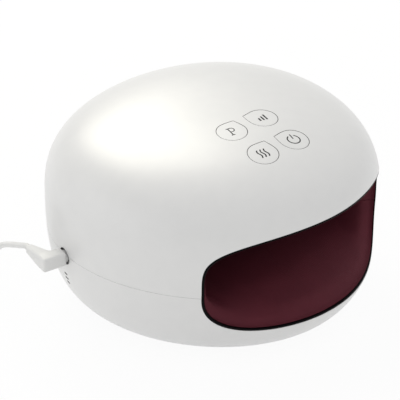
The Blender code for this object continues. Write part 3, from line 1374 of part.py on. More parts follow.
def make_tie():
    inner = COIL_INNER_RADIUS - CORD_RADIUS - TIE_SLACK
    outer = COIL_INNER_RADIUS + COIL_PITCH * COIL_TURNS_A_LAYER + CORD_RADIUS + SEAT_GAP
    top = TIE_THICKNESS + 2 * SEAT_GAP + 2 * CORD_RADIUS + COIL_PITCH * (COIL_LAYERS - 1)
    half = TIE_WIDTH / 2
    frame = Matrix.Translation((*COIL_CENTRE, 0)) @ Matrix.Rotation(TIE_ANGLE, 4, "Z")
    band = box_mesh("cord_tie", (inner - TIE_THICKNESS, -half, 0),
                    (outer + TIE_THICKNESS, half, top + TIE_THICKNESS))
    tie = add_part("cord_tie", band, satin_black, frame)
    room = box_mesh("tie_room", (inner, -OVERRUN, TIE_THICKNESS), (outer, OVERRUN, top))
    combine(tie, "DIFFERENCE", add_tool("tie_room", room, frame))
    soften = tie.modifiers.new("Round edges", "BEVEL")
    soften.width = TIE_THICKNESS / 3
    soften.segments = 1
    soften.limit_method = "ANGLE"


def make_usb_plug(end, along):
    """Moulded body on the cord's end and the metal shell with its tongue."""
    heading = math.atan2(along.y, along.x)
    frame = Matrix.Translation(end) @ Matrix.Rotation(heading, 4, "Z")
    width, length, height = USB_BODY
    start = SEAT_GAP
    body = box_mesh("usb_body", (start, -width / 2, -height / 2), (start + length, width / 2, height / 2))
    for vertex in body.vertices:
        if vertex.co.x < length / 2:
            vertex.co.y *= PLUG_TIP_HEIGHT / width
            vertex.co.z *= PLUG_TIP_WIDTH / height
    usb = add_part("usb_body", body, cord_white, frame)
    rounding = usb.modifiers.new("Round edges", "BEVEL")
    rounding.width = PLUG_ROUND
    rounding.segments = 2
    rounding.limit_method = "ANGLE"
    wide, long, tall = USB_SHELL
    begin = start + length + SEAT_GAP
    shell = add_part("usb_shell", box_mesh(
        "usb_shell", (begin, -wide / 2, -tall / 2), (begin + long, wide / 2, tall / 2)), steel, frame)
    wall = USB_SHELL_WALL
    mouth = box_mesh("usb_mouth", (begin + wall, wall - wide / 2, -wall / 2),
                     (begin + long + OVERRUN, wide / 2 - wall, tall / 2 - wall))
    combine(shell, "DIFFERENCE", add_tool("usb_mouth", mouth, frame))


# Feet and screws


def foot_places():
    """Feet at even angles round the underside, one at the front."""
    places = []
    for i in range(FOOT_COUNT):
        a = 2 * math.pi * i / FOOT_COUNT
        places.append(egg(FOOT_RING_RADIUS * math.sin(a), -FOOT_RING_RADIUS * math.cos(a)))
    return places


def make_feet():
    for number, (x, y) in enumerate(foot_places(), 1):
        add_part(f"foot_{number}", rod_mesh(
            "foot", FOOT_RADIUS, (x, y, 0), (x, y, FOOT_PROUD + FOOT_RECESS - SEAT_GAP),
            sides=2 * ROUND_SIDES), rubber)


def make_screws():
    stack = 2 * EAR_THICKNESS + SEAT_GAP
    seat_z = PARTING_Z + HALF_GAP + EAR_THICKNESS + SEAT_GAP
    for number, (x, y) in enumerate(post_places(), 1):
        make_screw(f"chamber_screw_{number}", (x, y, seat_z), (0, 0, -1),
                   stack + SEAT_GAP + SCREW_BITE)
    for number, (x, y) in enumerate(mirrored(TOWER_AT), 1):
        length = PARTING_Z - TOWER_RECESS + HOUSING_BITE
        make_screw(f"housing_screw_{number}", (x, y, TOWER_RECESS - SEAT_GAP), (0, 0, 1), length,
                   HOUSING_SCREW_RADIUS, HOUSING_HEAD_RADIUS)


clear_scene()
parts = collection("hand_massager")
tools = collection("cutters")

pearl = material("pearl_shell", PEARL, 0.25)
gloss_black = material("gloss_black", BLACK, 0.12)
satin_black = material("satin_black", BLACK, 0.45)
wine_fabric = material("wine_fabric", WINE, 0.55)
rubber = material("foot_rubber", RUBBER, 0.80)
cord_white = material("cord_white", CORD_WHITE, 0.45)
green = material("board_green", BOARD_GREEN, 0.40)
steel = material("steel", STEEL, 0.30, 1.0)
brass = material("brass", BRASS, 0.30, 1.0)
cell_blue = material("cell_blue", CELL_BLUE, 0.35)
bladder_film = material("bladder_film", BLADDER_GREY, 0.50)
clear = material("clear_tube", CLEAR_TUBE, 0.30)
amber = material("amber_film", FILM_AMBER, 0.40)

body_form, body_core = make_envelopes()
slope = (dome_z(0, PANEL_Y + WALL) - dome_z(0, PANEL_Y - WALL)) / (2 * WALL)
panel_matrix = Matrix.Translation((0, PANEL_Y, dome_z(0, PANEL_Y))) @ Matrix.Rotation(
    math.atan(slope), 4, "X")
panel = bpy.data.objects.new("key_panel", None)
panel.matrix_basis = panel_matrix
tools.objects.link(panel)

KEYS = [
    key_place("key_program", -1, 1, 45.0),
    key_place("key_level", 1, 1, 135.0),
    key_place("key_heat", -1, -1, 45.0),
    key_place("key_power", 1, -1, 135.0),
]

opening_cutter = add_tool("opening_cutter", flat_mesh(
    "opening_cutter", whole_outline(0.0), BODY_HALF_DEPTH),
    Matrix.Translation((0, -BODY_HALF_DEPTH * 3 / 4, 0)) @ Matrix.Rotation(math.radians(90.0), 4, "X"))
jack_cutter = add_tool("jack_cutter", rod_mesh(
    "jack_cutter", JACK_HOLE_RADIUS, (-OVERRUN, 0, 0), (OVERRUN, 0, 0), sides=2 * ROUND_SIDES),
    socket_frame())

make_upper_shell()
make_lower_shell()
make_opening_ring()
make_tray("upper_tray", 1)
make_tray("lower_tray", -1)
make_cushion("upper_cushion", 1, UPPER_CROWN)
make_cushion("lower_cushion", -1, LOWER_CROWN)
make_bladder("upper_bladder", 1, UPPER_PORT_AT)
make_bladder("lower_bladder", -1, LOWER_PORT_AT)
make_heater_film()
for key in KEYS:
    make_key(*key)
make_switches()
make_key_bracket()
make_control_board()
make_rear_frame()
make_pump()
make_valves()
make_tubes()
make_boards_and_lead()
make_jack()
make_plug()
make_feet()
make_screws()
make_cord()
bpy.context.view_layer.update()
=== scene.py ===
# %% [markdown]
# # Hand massager
#
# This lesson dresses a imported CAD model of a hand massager: a pearl white dome on a base,
# a wide dark opening for the hand, four drop shaped keys and a white supply lead. The CAD
# model keeps the sizes and the joints, and every piece made here is placed by them, in metres.

# %% Load the CAD model
import json
import math

import bmesh
import bpy
from mathutils import Matrix, Vector

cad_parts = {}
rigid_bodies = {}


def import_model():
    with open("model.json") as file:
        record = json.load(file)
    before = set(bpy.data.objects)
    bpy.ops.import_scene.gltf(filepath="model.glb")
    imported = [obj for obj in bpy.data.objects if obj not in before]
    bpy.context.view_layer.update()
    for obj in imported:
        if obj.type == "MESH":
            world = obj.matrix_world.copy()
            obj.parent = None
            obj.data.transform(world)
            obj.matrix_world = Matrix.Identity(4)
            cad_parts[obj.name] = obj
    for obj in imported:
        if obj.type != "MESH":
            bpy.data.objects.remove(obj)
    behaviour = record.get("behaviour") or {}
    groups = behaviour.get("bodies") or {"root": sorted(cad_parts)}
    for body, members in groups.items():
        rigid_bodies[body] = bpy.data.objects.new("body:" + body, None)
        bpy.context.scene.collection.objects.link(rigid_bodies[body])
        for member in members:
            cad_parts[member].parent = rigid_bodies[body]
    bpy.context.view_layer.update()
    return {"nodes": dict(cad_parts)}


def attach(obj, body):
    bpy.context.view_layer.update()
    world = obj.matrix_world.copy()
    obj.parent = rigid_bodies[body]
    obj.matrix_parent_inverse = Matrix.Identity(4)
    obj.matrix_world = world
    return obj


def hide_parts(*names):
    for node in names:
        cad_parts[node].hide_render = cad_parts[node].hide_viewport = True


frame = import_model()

print("nodes in the CAD model:", len(frame["nodes"]))

# %% [markdown]
# ## Camera
#
# The photograph was taken with a long lens from the front left, looking down by about a
# third of a right angle. The camera looks along a line through the middle of the body, and
# a small shift puts the body where it is in the picture.

# %% Camera
AIM = Vector((0, -0.00364, 0.057))
CAMERA_DISTANCE = 1.3758
CAMERA_AZIMUTH = math.radians(-45.793)
CAMERA_ELEVATION = math.radians(32.013)
LENS_MM = 205.83
SENSOR_MM = 36
SHIFT = (-0.05385, 0.0080)

camera_data = bpy.data.cameras.new("camera")
camera_data.lens = LENS_MM
camera_data.sensor_width = SENSOR_MM
camera_data.shift_x, camera_data.shift_y = SHIFT
camera = bpy.data.objects.new("camera", camera_data)
camera.rotation_euler = (math.radians(90) - CAMERA_ELEVATION, 0, CAMERA_AZIMUTH)
camera_turn = camera.rotation_euler.to_matrix()
camera.location = AIM + camera_turn @ Vector((0, 0, CAMERA_DISTANCE))
bpy.context.scene.collection.objects.link(camera)
bpy.context.scene.camera = camera
bpy.context.scene.view_settings.view_transform = "Standard"
print("camera at", [round(v, 3) for v in camera.location])

# %% [markdown]
# ## The body's form
#
# The dome and the base are one round form, a little narrower at the front than at the back,
# like an egg seen from above. Two power curves give its side: one from the top of the dome
# to the widest point, and one from there down to the flat underside. These few functions
# give any point of that surface, so that shells, keys and cushions all agree.

# %% Sizes of the body
BODY_HALF_WIDTH = 0.1000
BODY_HALF_DEPTH = 0.1006
BODY_HEIGHT = 0.1180
WIDEST_HEIGHT = 0.0602
PARTING_HEIGHT = 0.0495
WALL = 0.0025
FOOT_PROUD = 0.0020
SEAT_GAP = 0.0003
EGG_SHARE = 0.082
BASE_REACH_SHARE = 0.668
DOME_RISE_POWER = 3.547
DOME_REACH_POWER = 2.424
BASE_DROP_POWER = 2.712
BASE_REACH_POWER = 2.246
PARTING_Z = FOOT_PROUD + PARTING_HEIGHT
MERGE = 1e-6
print("body:", 2 * BODY_HALF_WIDTH, "x", 2 * BODY_HALF_DEPTH, "x", BODY_HEIGHT, "m")

# %% Reach and plan of the outer surface
def reach_share(height):
    """Share of the full reach from the axis, at a height above the underside."""
    if height >= WIDEST_HEIGHT:
        rise = min(1.0, (height - WIDEST_HEIGHT) / (BODY_HEIGHT - WIDEST_HEIGHT))
        return (1 - rise**DOME_RISE_POWER) ** (1 / DOME_REACH_POWER)
    drop = min(1.0, (WIDEST_HEIGHT - height) / WIDEST_HEIGHT)
    reach = (1 - drop**BASE_DROP_POWER) ** (1 / BASE_REACH_POWER)
    return BASE_REACH_SHARE + (1 - BASE_REACH_SHARE) * reach


def egg(x, y):
    """Turn a point of a round plan into one of the egg shaped plan."""
    radius = math.hypot(x, y)
    if radius == 0:
        return 0.0, 0.0
    return x * (1 + EGG_SHARE * y / radius), y * BODY_HALF_DEPTH / BODY_HALF_WIDTH


def wall_point(angle, height):
    """A point of the outer surface, at an angle from the front towards +X."""
    radius = BODY_HALF_WIDTH * reach_share(height)
    x, y = egg(radius * math.sin(angle), -radius * math.cos(angle))
    return Vector((x, y, FOOT_PROUD + height))


print("front of the body at", round(wall_point(0, WIDEST_HEIGHT).y, 4))

# %% Front and top of the outer surface
FRONT_STEPS = 30
PLAN_STEPS = 12


def front_y(x, z):
    """Where a line along Y at x and z meets the front of the outer surface."""
    share = reach_share(z - FOOT_PROUD)
    cosine = 1.0
    for _ in range(FRONT_STEPS):
        sine = abs(x) / (BODY_HALF_WIDTH * share * (1 - EGG_SHARE * cosine))
        cosine = math.sqrt(max(0.0, 1 - min(1.0, sine) ** 2))
    return -BODY_HALF_DEPTH * share * cosine


def plan_share(x, y):
    """Distance of a point of the plan from the axis, as a share of the widest outline's."""
    cosine = share = 0.0
    for _ in range(PLAN_STEPS):
        share = math.hypot(x / (BODY_HALF_WIDTH * (1 - EGG_SHARE * cosine)), y / BODY_HALF_DEPTH)
        cosine = -y / (BODY_HALF_DEPTH * share) if share else 0.0
    return share


def dome_z(x, y):
    """Height of the dome above a point of the plan."""
    rise = (1 - min(1.0, plan_share(x, y)) ** DOME_REACH_POWER) ** (1 / DOME_RISE_POWER)
    return FOOT_PROUD + WIDEST_HEIGHT + (BODY_HEIGHT - WIDEST_HEIGHT) * rise


print("top of the dome at", round(dome_z(0, 0), 4))

# %% Distance from the outer surface, and its slope
HIGH_SHARE = 0.85
SLOPE_STEP = 2e-5


def off_surface(place, on_top):
    """How far a point lies outside the outer surface: measured up on top, else outwards."""
    x, y, z = place
    if on_top:
        return z - dome_z(x, y)
    return (plan_share(x, y) - reach_share(z - FOOT_PROUD)) * BODY_HALF_WIDTH


def is_high(place):
    """Whether a point is on the top of the dome, where heights measure better than reaches."""
    return place.z - FOOT_PROUD > BODY_HEIGHT * HIGH_SHARE


def surface_normal(place):
    """Direction straight out of the outer surface at a point near it."""
    on_top = is_high(place)
    return Vector([off_surface(place + Vector(d) * SLOPE_STEP, on_top)
                   - off_surface(place - Vector(d) * SLOPE_STEP, on_top)
                   for d in ((1, 0, 0), (0, 1, 0), (0, 0, 1))]).normalized()


print("out of the front:", [round(v, 2) for v in surface_normal(wall_point(0, WIDEST_HEIGHT))])

# %% [markdown]
# ## Supply lead
#
# The lead is a thin, limp cord of about 1.2 m, the usual length for a small appliance that
# charges from a socket nearby. It leaves the elbow plug towards the back, drops to the table
# and ends in a flat connector. The photograph shows only its first few centimetres, so the
# rest is wound into a neat coil behind the body on the left, outside the picture. A curve
# with a round bevel is the natural tool: one line gives the length, and the bevel gives the
# thickness.

# %% Sizes of the socket and the lead
JACK_HEIGHT = 0.0477
JACK_ANGLE = math.radians(-107.3)
PLUG_ARM = 0.0118
PLUG_LEG = 0.0226
PLUG_DROOP = 0.0028
CORD_RADIUS = 0.0018
CORD_ROUTE = (
    (0.0000, 0.0000, 0.0000),
    (0.0007, 0.0021, 0.0000),
    (0.0010, 0.0056, -0.0014),
    (0.0019, 0.0105, -0.0038),
    (0.0044, 0.0208, -0.0092),
    (0.0083, 0.0339, -0.0172),
    (0.0108, 0.0445, -0.0264),
    (0.0124, 0.0540, -0.0352),
    (0.0136, 0.0625, -0.0412),
    (0.0143, 0.0710, -0.0443),
    (0.0145, 0.0800, -0.0450),
)
TAIL_ROUTE = (
    (0.0000, 0.0000, 0.0000),
    (0.0000, 0.0060, 0.0000),
    (0.0005, 0.0140, -0.0010),
    (0.0012, 0.0240, -0.0029),
    (0.0016, 0.0330, -0.0034),
    (0.0016, 0.0400, -0.0034),
)
COIL_CENTRE = (-0.1180, 0.1500)
COIL_INNER_RADIUS = 0.0128
COIL_PITCH = 0.0041
COIL_LAYERS = 2
COIL_TURNS_A_LAYER = 4
COIL_STEPS = 24
TIE_THICKNESS = 0.0008
print("lead:", 2 * CORD_RADIUS, "m thick, wound in", COIL_LAYERS, "layers")

# %% Place of the socket
def wall_heading(angle):
    """Heading of the wall's outward direction, seen from above."""
    small = WALL / BODY_HALF_WIDTH
    along = wall_point(angle + small, PARTING_HEIGHT) - wall_point(angle - small, PARTING_HEIGHT)
    return math.atan2(-along.x, along.y)


socket_frame = Matrix.Translation(wall_point(JACK_ANGLE, JACK_HEIGHT)) @ Matrix.Rotation(
    wall_heading(JACK_ANGLE), 4, "Z")
print("socket at", [round(v, 4) for v in socket_frame.translation])

# %% Helpers for lines
def runs_along(line):
    """Length of a line from its start to each of its points."""
    runs = [0.0]
    for a, b in zip(line, line[1:]):
        runs.append(runs[-1] + math.dist(a, b))
    return runs


def eased(t):
    """Rise from 0 to 1 as t does, level at both ends."""
    t = min(1.0, max(0.0, t))
    return t * t * (3 - 2 * t)


def smooth_line(points, step):
    """Points at about even steps on a smooth curve through the given points."""
    points = [Vector(p) for p in points]
    padded = [2 * points[0] - points[1], *points, 2 * points[-1] - points[-2]]
    fine = []
    for a, b, c, d in zip(padded, padded[1:], padded[2:], padded[3:]):
        pieces = max(2, math.ceil((c - b).length / step))
        for i in range(pieces):
            t = i / pieces
            fine.append(
                ((2 * b) + (c - a) * t + (2 * a - 5 * b + 4 * c - d) * t**2
                 + (3 * b - a - 3 * c + d) * t**3) / 2
            )
    return [*fine, points[-1]]


print("way to the table:", round(runs_along(CORD_ROUTE)[-1], 4), "m")

# %% Route of the lead
def coil_points():
    """Turns that spiral in on the first layer and out on the second, then the loose tail."""
    line = []
    for i in range(COIL_LAYERS * COIL_TURNS_A_LAYER * COIL_STEPS + 1):
        turned = i / COIL_STEPS
        layer = min(COIL_LAYERS - 1, int(turned // COIL_TURNS_A_LAYER))
        within = turned - layer * COIL_TURNS_A_LAYER
        if layer % 2 == 0:
            within = COIL_TURNS_A_LAYER - within
        radius = COIL_INNER_RADIUS + COIL_PITCH * within
        climb = eased((turned - COIL_TURNS_A_LAYER) * 2 + 1 / 2)
        a = math.tau * turned
        line.append(Vector((
            COIL_CENTRE[0] + radius * math.cos(a), COIL_CENTRE[1] + radius * math.sin(a),
            TIE_THICKNESS + SEAT_GAP + CORD_RADIUS + COIL_PITCH * climb)))
    tail = smooth_line([line[-1] + Vector(p) for p in TAIL_ROUTE], 4 * CORD_RADIUS)
    return [line[0] - Vector((0, 2 * CORD_RADIUS, 0)), *line, *tail[1:]]


cord_exit = socket_frame @ Vector((PLUG_ARM, -PLUG_LEG - SEAT_GAP, -PLUG_DROOP))
coil = coil_points()
lead_in = coil[0] - Vector((0, SEAT_GAP, 0))
route = [cord_exit + Vector(p) for p in CORD_ROUTE]
route += [lead_in - Vector((0, 4 * CORD_RADIUS, 0)), lead_in]
free_run = [route[0], *smooth_line(route[1:-1], 5 * CORD_RADIUS), route[-1]]
lead_line = [*free_run, *coil]

# %% The lead as a curve
lead_curve = bpy.data.curves.new("supply_lead", "CURVE")
lead_curve.dimensions = "3D"
lead_curve.bevel_depth = 1.0
lead_curve.bevel_resolution = 5
lead_curve.resolution_u = 3
lead_curve.use_fill_caps = True
strand = lead_curve.splines.new("BEZIER")
strand.bezier_points.add(len(lead_line) - 1)
for point, place in zip(strand.bezier_points, lead_line):
    point.co = place
    point.radius = CORD_RADIUS
    point.handle_left_type = point.handle_right_type = "AUTO"
lead = bpy.data.objects.new("supply_lead", lead_curve)
bpy.context.scene.collection.objects.link(lead)
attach(lead, "supply_lead")
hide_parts("cord", "cord_coil")
print("curve points of the lead:", len(strand.bezier_points))

# %% [markdown]
# ## Finishes
#
# A finish needs more than a colour. Each one here mixes two close tones with a coarse noise,
# and a fine noise at the size of the real grain moves the roughness and makes a shallow bump.
# The pattern reads Object coordinates, which are metres on the real object, so a scale of
# 1000 means detail of about a millimetre.

# %% Helpers for nodes and grained finishes
GRAIN_DETAIL = 3.0
CLOUD_COARSENESS = 20


def set_sockets(node, **values):
    """Set a node's sockets by name, with _ for a space."""
    for socket, value in values.items():
        node.inputs[socket.replace("_", " ")].default_value = value
    return node


def new_node(tree, kind, **values):
    """Add a shader node of a kind, with its sockets set."""
    return set_sockets(tree.nodes.new("ShaderNode" + kind), **values)


def with_nodes(data, shader="Principled BSDF"):
    """Turn on the nodes of a material or a world, and give its tree and its shader."""
    data.use_nodes = True
    return data.node_tree, data.node_tree.nodes[shader]


def grained(name, low, high, rough, scale, bump, depth=0.00005, **sockets):
    """A moulded, sprayed or cast finish: two tones, moving roughness and a shallow grain."""
    made = bpy.data.materials.new(name)
    tree, shader = with_nodes(made)
    set_sockets(shader, **sockets)
    where = new_node(tree, "TexCoord").outputs["Object"]
    grain = new_node(tree, "TexNoise", Scale=scale, Detail=GRAIN_DETAIL)
    cloud = new_node(tree, "TexNoise", Scale=scale / CLOUD_COARSENESS)
    tone = new_node(tree, "Mix")
    tone.data_type = "RGBA"
    set_sockets(tone, A=(*low, 1.0), B=(*high, 1.0))
    spread = new_node(tree, "MapRange", To_Min=rough[0], To_Max=rough[1])
    relief = new_node(tree, "Bump", Strength=bump, Distance=depth)
    for start, end in (
            (where, grain.inputs["Vector"]), (where, cloud.inputs["Vector"]),
            (cloud.outputs["Fac"], tone.inputs["Factor"]),
            (tone.outputs["Result"], shader.inputs["Base Color"]),
            (grain.outputs["Fac"], spread.inputs["Value"]),
            (spread.outputs["Result"], shader.inputs["Roughness"]),
            (grain.outputs["Fac"], relief.inputs["Height"]),
            (relief.outputs["Normal"], shader.inputs["Normal"])):
        tree.links.new(start, end)
    return made


print("grain detail:", GRAIN_DETAIL)

# %% Finishes of this object
pearl = grained("pearl_lacquer", (0.705, 0.705, 0.702), (0.740, 0.739, 0.734), (0.34, 0.44),
                scale=2200, bump=0.05, depth=0.00002, Metallic=0.15, Coat_Weight=0.5,
                Coat_Roughness=0.34, Specular_IOR_Level=0.5)
# Dark grey for the cut walls behind the pearl outside: the unsprayed moulding, made dark as painted
# shade in the gaps round the keys and at the seams.
grey_walls_gap_shade = grained("raw_moulding_grey_and_gap_shade", (0.095, 0.095, 0.093), (0.130, 0.130, 0.127),
                   (0.45, 0.60), scale=2500, bump=0.3)
# Near-black ring with a weak reflection: black plastic, pushed darker as painted shade of the gap
# between shell and cushion.
black_ring_gap_shade = grained("black_ring_and_gap_shade", (0.002, 0.0015, 0.002), (0.004, 0.003, 0.0035),
                      (0.30, 0.42), scale=900, bump=0.05, Specular_IOR_Level=0.06)
satin_black = grained("satin_black_plastic", (0.012, 0.012, 0.014), (0.022, 0.022, 0.024),
                      (0.38, 0.55), scale=2500, bump=0.4)
foot_rubber = grained("foot_rubber", (0.014, 0.014, 0.014), (0.026, 0.026, 0.027),
                      (0.70, 0.88), scale=3000, bump=0.5)
cord_white = grained("white_cord_sheath", (0.70, 0.70, 0.695), (0.76, 0.76, 0.75),
                     (0.34, 0.46), scale=1800, bump=0.15)
mark_ink = grained("key_mark_ink", (0.010, 0.010, 0.012), (0.018, 0.018, 0.020),
                   (0.55, 0.70), scale=4000, bump=0.1, Specular_IOR_Level=0.2)
board_green = grained("board_green", (0.010, 0.090, 0.030), (0.020, 0.150, 0.050),
                      (0.28, 0.42), scale=1200, bump=0.2)
steel = grained("brushed_steel", (0.50, 0.50, 0.51), (0.60, 0.60, 0.61), (0.22, 0.38),
                scale=1500, bump=0.1, Metallic=1.0)
brass = grained("turned_brass", (0.66, 0.47, 0.18), (0.76, 0.57, 0.26), (0.24, 0.38),
                scale=1500, bump=0.1, Metallic=1.0)
cell_blue = grained("cell_sleeve_blue", (0.030, 0.16, 0.36), (0.045, 0.22, 0.46),
                    (0.25, 0.38), scale=700, bump=0.1)
bladder_grey = grained("air_bag_film", (0.30, 0.31, 0.33), (0.38, 0.39, 0.41), (0.42, 0.58),
                       scale=1600, bump=0.5)
clear_tube = grained("milky_tube", (0.62, 0.64, 0.62), (0.72, 0.74, 0.72), (0.24, 0.36),
                     scale=900, bump=0.05)
amber_film = grained("heating_film", (0.36, 0.14, 0.02), (0.50, 0.24, 0.06), (0.30, 0.45),
                     scale=900, bump=0.1)
print("finishes:", len([m for m in bpy.data.materials if m.use_nodes]))

# %% [markdown]
# ## Fabric
#
# The cushions wear a smooth wine red knit. Its loops are under a millimetre, too small to
# count in the photograph, but a close view needs them, and the pile brightens where the
# cloth turns away. Crossed bands of fine waves make the knit, and the shader's own sheen
# makes the soft bright edge.

# %% Fabric of the cushions
fabric = grained("wine_knit", (0.088, 0.0145, 0.0235), (0.112, 0.0185, 0.0298), (0.62, 0.80),
                 scale=1500, bump=0.25, depth=0.0001, Sheen_Weight=0.12, Sheen_Roughness=0.35,
                 Sheen_Tint=(0.55, 0.12, 0.18, 1.0), Specular_IOR_Level=0.18)
CLOTH_LOOPS = (220.0, 190.0)

tree, surface = with_nodes(fabric)
centred = new_node(tree, "Mapping", Scale=(*CLOTH_LOOPS, 1.0))
tree.links.new(new_node(tree, "TexCoord").outputs["UV"], centred.inputs["Vector"])
loops = new_node(tree, "Math")
loops.operation = "MULTIPLY"
for number, direction in enumerate("XY"):
    band = new_node(tree, "TexWave", Scale=0.5, Distortion=0.6, Detail_Scale=2.0)
    band.bands_direction = direction
    tree.links.new(centred.outputs["Vector"], band.inputs["Vector"])
    tree.links.new(band.outputs["Fac"], loops.inputs[number])
stitch = new_node(tree, "Bump", Strength=0.45, Distance=0.00025)
tree.links.new(loops.outputs["Value"], stitch.inputs["Height"])
tree.links.new(surface.inputs["Normal"].links[0].from_socket, stitch.inputs["Normal"])
tree.links.new(stitch.outputs["Normal"], surface.inputs["Normal"])
print("fabric:", fabric.name)

# %% [markdown]
# ## Turning and carving
#
# Both shells are thin mouldings of a round form. A thin profile of the wall, spun about the
# upright axis, gives the moulding in one step, and a small function then presses the plan
# into its egg shape. The hand opening, the key holes and the socket are carved with plain
# cutters and the Boolean modifier, because they go straight through the wall. Carving leaves
# long thin triangles that would shade unevenly, so the outside takes its normals from the
# true surface afterwards.

# %% Helpers for turning a profile
ROUND_STEPS = 160


def turned(line, steps=ROUND_STEPS):
    """Spin a profile of (reach, z) about the upright axis."""
    shape = bmesh.new()
    verts = [shape.verts.new((r, 0, z)) for r, z in line]
    edges = [shape.edges.new(pair) for pair in zip(verts, verts[1:])]
    bmesh.ops.spin(shape, geom=[*verts, *edges], cent=(0, 0, 0), axis=(0, 0, 1),
                   angle=math.tau, steps=steps, use_merge=True)
    bmesh.ops.remove_doubles(shape, verts=shape.verts, dist=MERGE)
    bmesh.ops.recalc_face_normals(shape, faces=shape.faces)
    return shape


def pressed(shape):
    """Press a round shape into the egg shaped plan."""
    for vert in shape.verts:
        vert.co.x, vert.co.y = egg(vert.co.x, vert.co.y)
    return shape


print("steps round a turned piece:", ROUND_STEPS)

# %% Helper for a named piece
SHARP_ANGLE = 35.0
PIECES = bpy.data.collections.new("dressed_massager")
bpy.context.scene.collection.children.link(PIECES)


def piece_from(shape, name, look, body=None, sharp=SHARP_ANGLE):
    """Link a bmesh as a named piece that rides on a body."""
    mesh = bpy.data.meshes.new(name)
    shape.to_mesh(mesh)
    shape.free()
    mesh.materials.append(look)
    mesh.shade_smooth()
    mesh.set_sharp_from_angle(angle=math.radians(sharp))
    piece = bpy.data.objects.new(name, mesh)
    PIECES.objects.link(piece)
    if body:
        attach(piece, body)
    return piece


print("collection:", PIECES.name)

# %% Helpers for carving
CARVING = "EXACT"


def settle(piece):
    """Give a piece the mesh that its modifiers make."""
    bpy.context.view_layer.update()
    graph = bpy.context.evaluated_depsgraph_get()
    mesh = bpy.data.meshes.new_from_object(piece.evaluated_get(graph))
    piece.modifiers.clear()
    piece.data = mesh
    return mesh


def carve(piece, cutters):
    """Cut shapes out of a piece."""
    for cutter in cutters:
        cut = piece.modifiers.new("cut " + cutter.name, "BOOLEAN")
        cut.operation = "DIFFERENCE"
        cut.solver = CARVING
        cut.object = cutter
    settle(piece)


def discard(cutters):
    """Remove the cutters when nothing needs them any more."""
    for cutter in cutters:
        bpy.data.objects.remove(cutter, do_unlink=True)


print("carving solver:", CARVING)

# %% [markdown]
# ## Outline of the hand opening
#
# The opening is a long rounded shape, fuller at its lower corners, cut straight through the
# front. Its outline is two power curves that meet at the parting line between the shells.

# %% Outline of the opening
OPENING_HALF_WIDTH = 0.0753
OPENING_RISE = 0.0394
OPENING_DROP = 0.0266
RISE_POWERS = (2.32, 4.68)
DROP_POWERS = (5.98, 2.29)
OUTLINE_POINTS = 240
OUTLINE_SAMPLES = 4000


def opening_xz(angle, inset):
    """A point of the opening's outline about the parting line, moved in by inset."""
    c, s = math.cos(angle), math.sin(angle)
    width_power, height_power = RISE_POWERS if s >= 0 else DROP_POWERS
    height = (OPENING_RISE if s >= 0 else OPENING_DROP) - inset
    x = math.copysign(abs(c) ** (2 / width_power), c) * (OPENING_HALF_WIDTH - inset)
    z = math.copysign(abs(s) ** (2 / height_power), s) * height
    return x, z


def even_angles(first, last, count):
    """Angles that space the points of the outline evenly from first to last."""
    fine = [first + (last - first) * i / OUTLINE_SAMPLES for i in range(OUTLINE_SAMPLES + 1)]
    runs = runs_along([opening_xz(a, 0.0) for a in fine])
    angles = []
    k = 0
    for i in range(count + 1):
        while k < len(fine) - 1 and runs[k] < runs[-1] * i / count:
            k += 1
        angles.append(fine[k])
    return angles


def outline(inset):
    """The whole outline of the opening as (x, z)."""
    angles = even_angles(0.0, math.tau, OUTLINE_POINTS)[:-1]
    return [(x, PARTING_Z + z) for x, z in (opening_xz(a, inset) for a in angles)]


print("opening:", 2 * OPENING_HALF_WIDTH, "x", round(OPENING_RISE + OPENING_DROP, 4), "m")

# %% Helpers for cutters and loops
def prism(name, ring, along):
    """A solid cutter: a ring of points and its copy moved along."""
    shape = bmesh.new()
    made = bmesh.ops.create_circle(shape, cap_ends=True, segments=len(ring), radius=1.0)
    for vert, place in zip(made["verts"], ring):
        vert.co = place
    grown = bmesh.ops.extrude_face_region(shape, geom=list(shape.faces))["geom"]
    moved = [v for v in grown if isinstance(v, bmesh.types.BMVert)]
    bmesh.ops.translate(shape, vec=along, verts=moved)
    bmesh.ops.recalc_face_normals(shape, faces=shape.faces)
    return piece_from(shape, name, satin_black)


def lofted(rings, closed=False, capped=False):
    """Extrude a loop of points from ring to ring."""
    shape = bmesh.new()
    number = shape.verts.layers.int.new("number")
    made = bmesh.ops.create_circle(shape, segments=len(rings[0]), radius=1.0)
    for i, (vert, place) in enumerate(zip(made["verts"], rings[0])):
        vert[number] = i
        vert.co = place
    edges = first = list(shape.edges)
    for ring in rings[1:]:
        grown = bmesh.ops.extrude_edge_only(shape, edges=edges)["geom"]
        edges = [e for e in grown if isinstance(e, bmesh.types.BMEdge)]
        for vert in (v for v in grown if isinstance(v, bmesh.types.BMVert)):
            vert.co = ring[vert[number]]
    if closed:
        bmesh.ops.bridge_loops(shape, edges=[*first, *edges])
    if capped:
        bmesh.ops.holes_fill(shape, edges=shape.edges)
    bmesh.ops.recalc_face_normals(shape, faces=shape.faces)
    return shape


def ring_loop(inset, back):
    """The opening's outline moved in by inset, laid on the front and set back from it."""
    return [(x, front_y(x, z) + back, z) for x, z in outline(inset)]


print("points round the opening:", len(ring_loop(0.0, 0.0)))

# %% Cutter of the opening
OPENING_REACH = (-0.13, -0.03)
LIP_ROUND = 0.0004
LIP_SHARES = ((0.0, 1.0), (0.1, 0.4), (0.4, 0.1), (1.0, 0.0), (2.0, -0.5))
lip = [ring_loop(-LIP_ROUND * grow, LIP_ROUND * back) for grow, back in LIP_SHARES]
opening_cutter = piece_from(lofted(
    [[(x, OPENING_REACH[1], z) for x, z in outline(0.0)], *lip,
     [(x, OPENING_REACH[0], z) for x, z in outline(-2 * LIP_ROUND)]], capped=True),
    "opening_cutter", satin_black)
print("faces of the opening's cutter:", len(opening_cutter.data.polygons))

# %% [markdown]
# ## Keys' places
#
# The four keys lie in the top of the dome. Each is round with one pointed corner, like a
# drop. Their places are given in a plane that touches the dome, and a function carries a
# point of that plane onto the surface itself, so that caps and marks follow its curve.

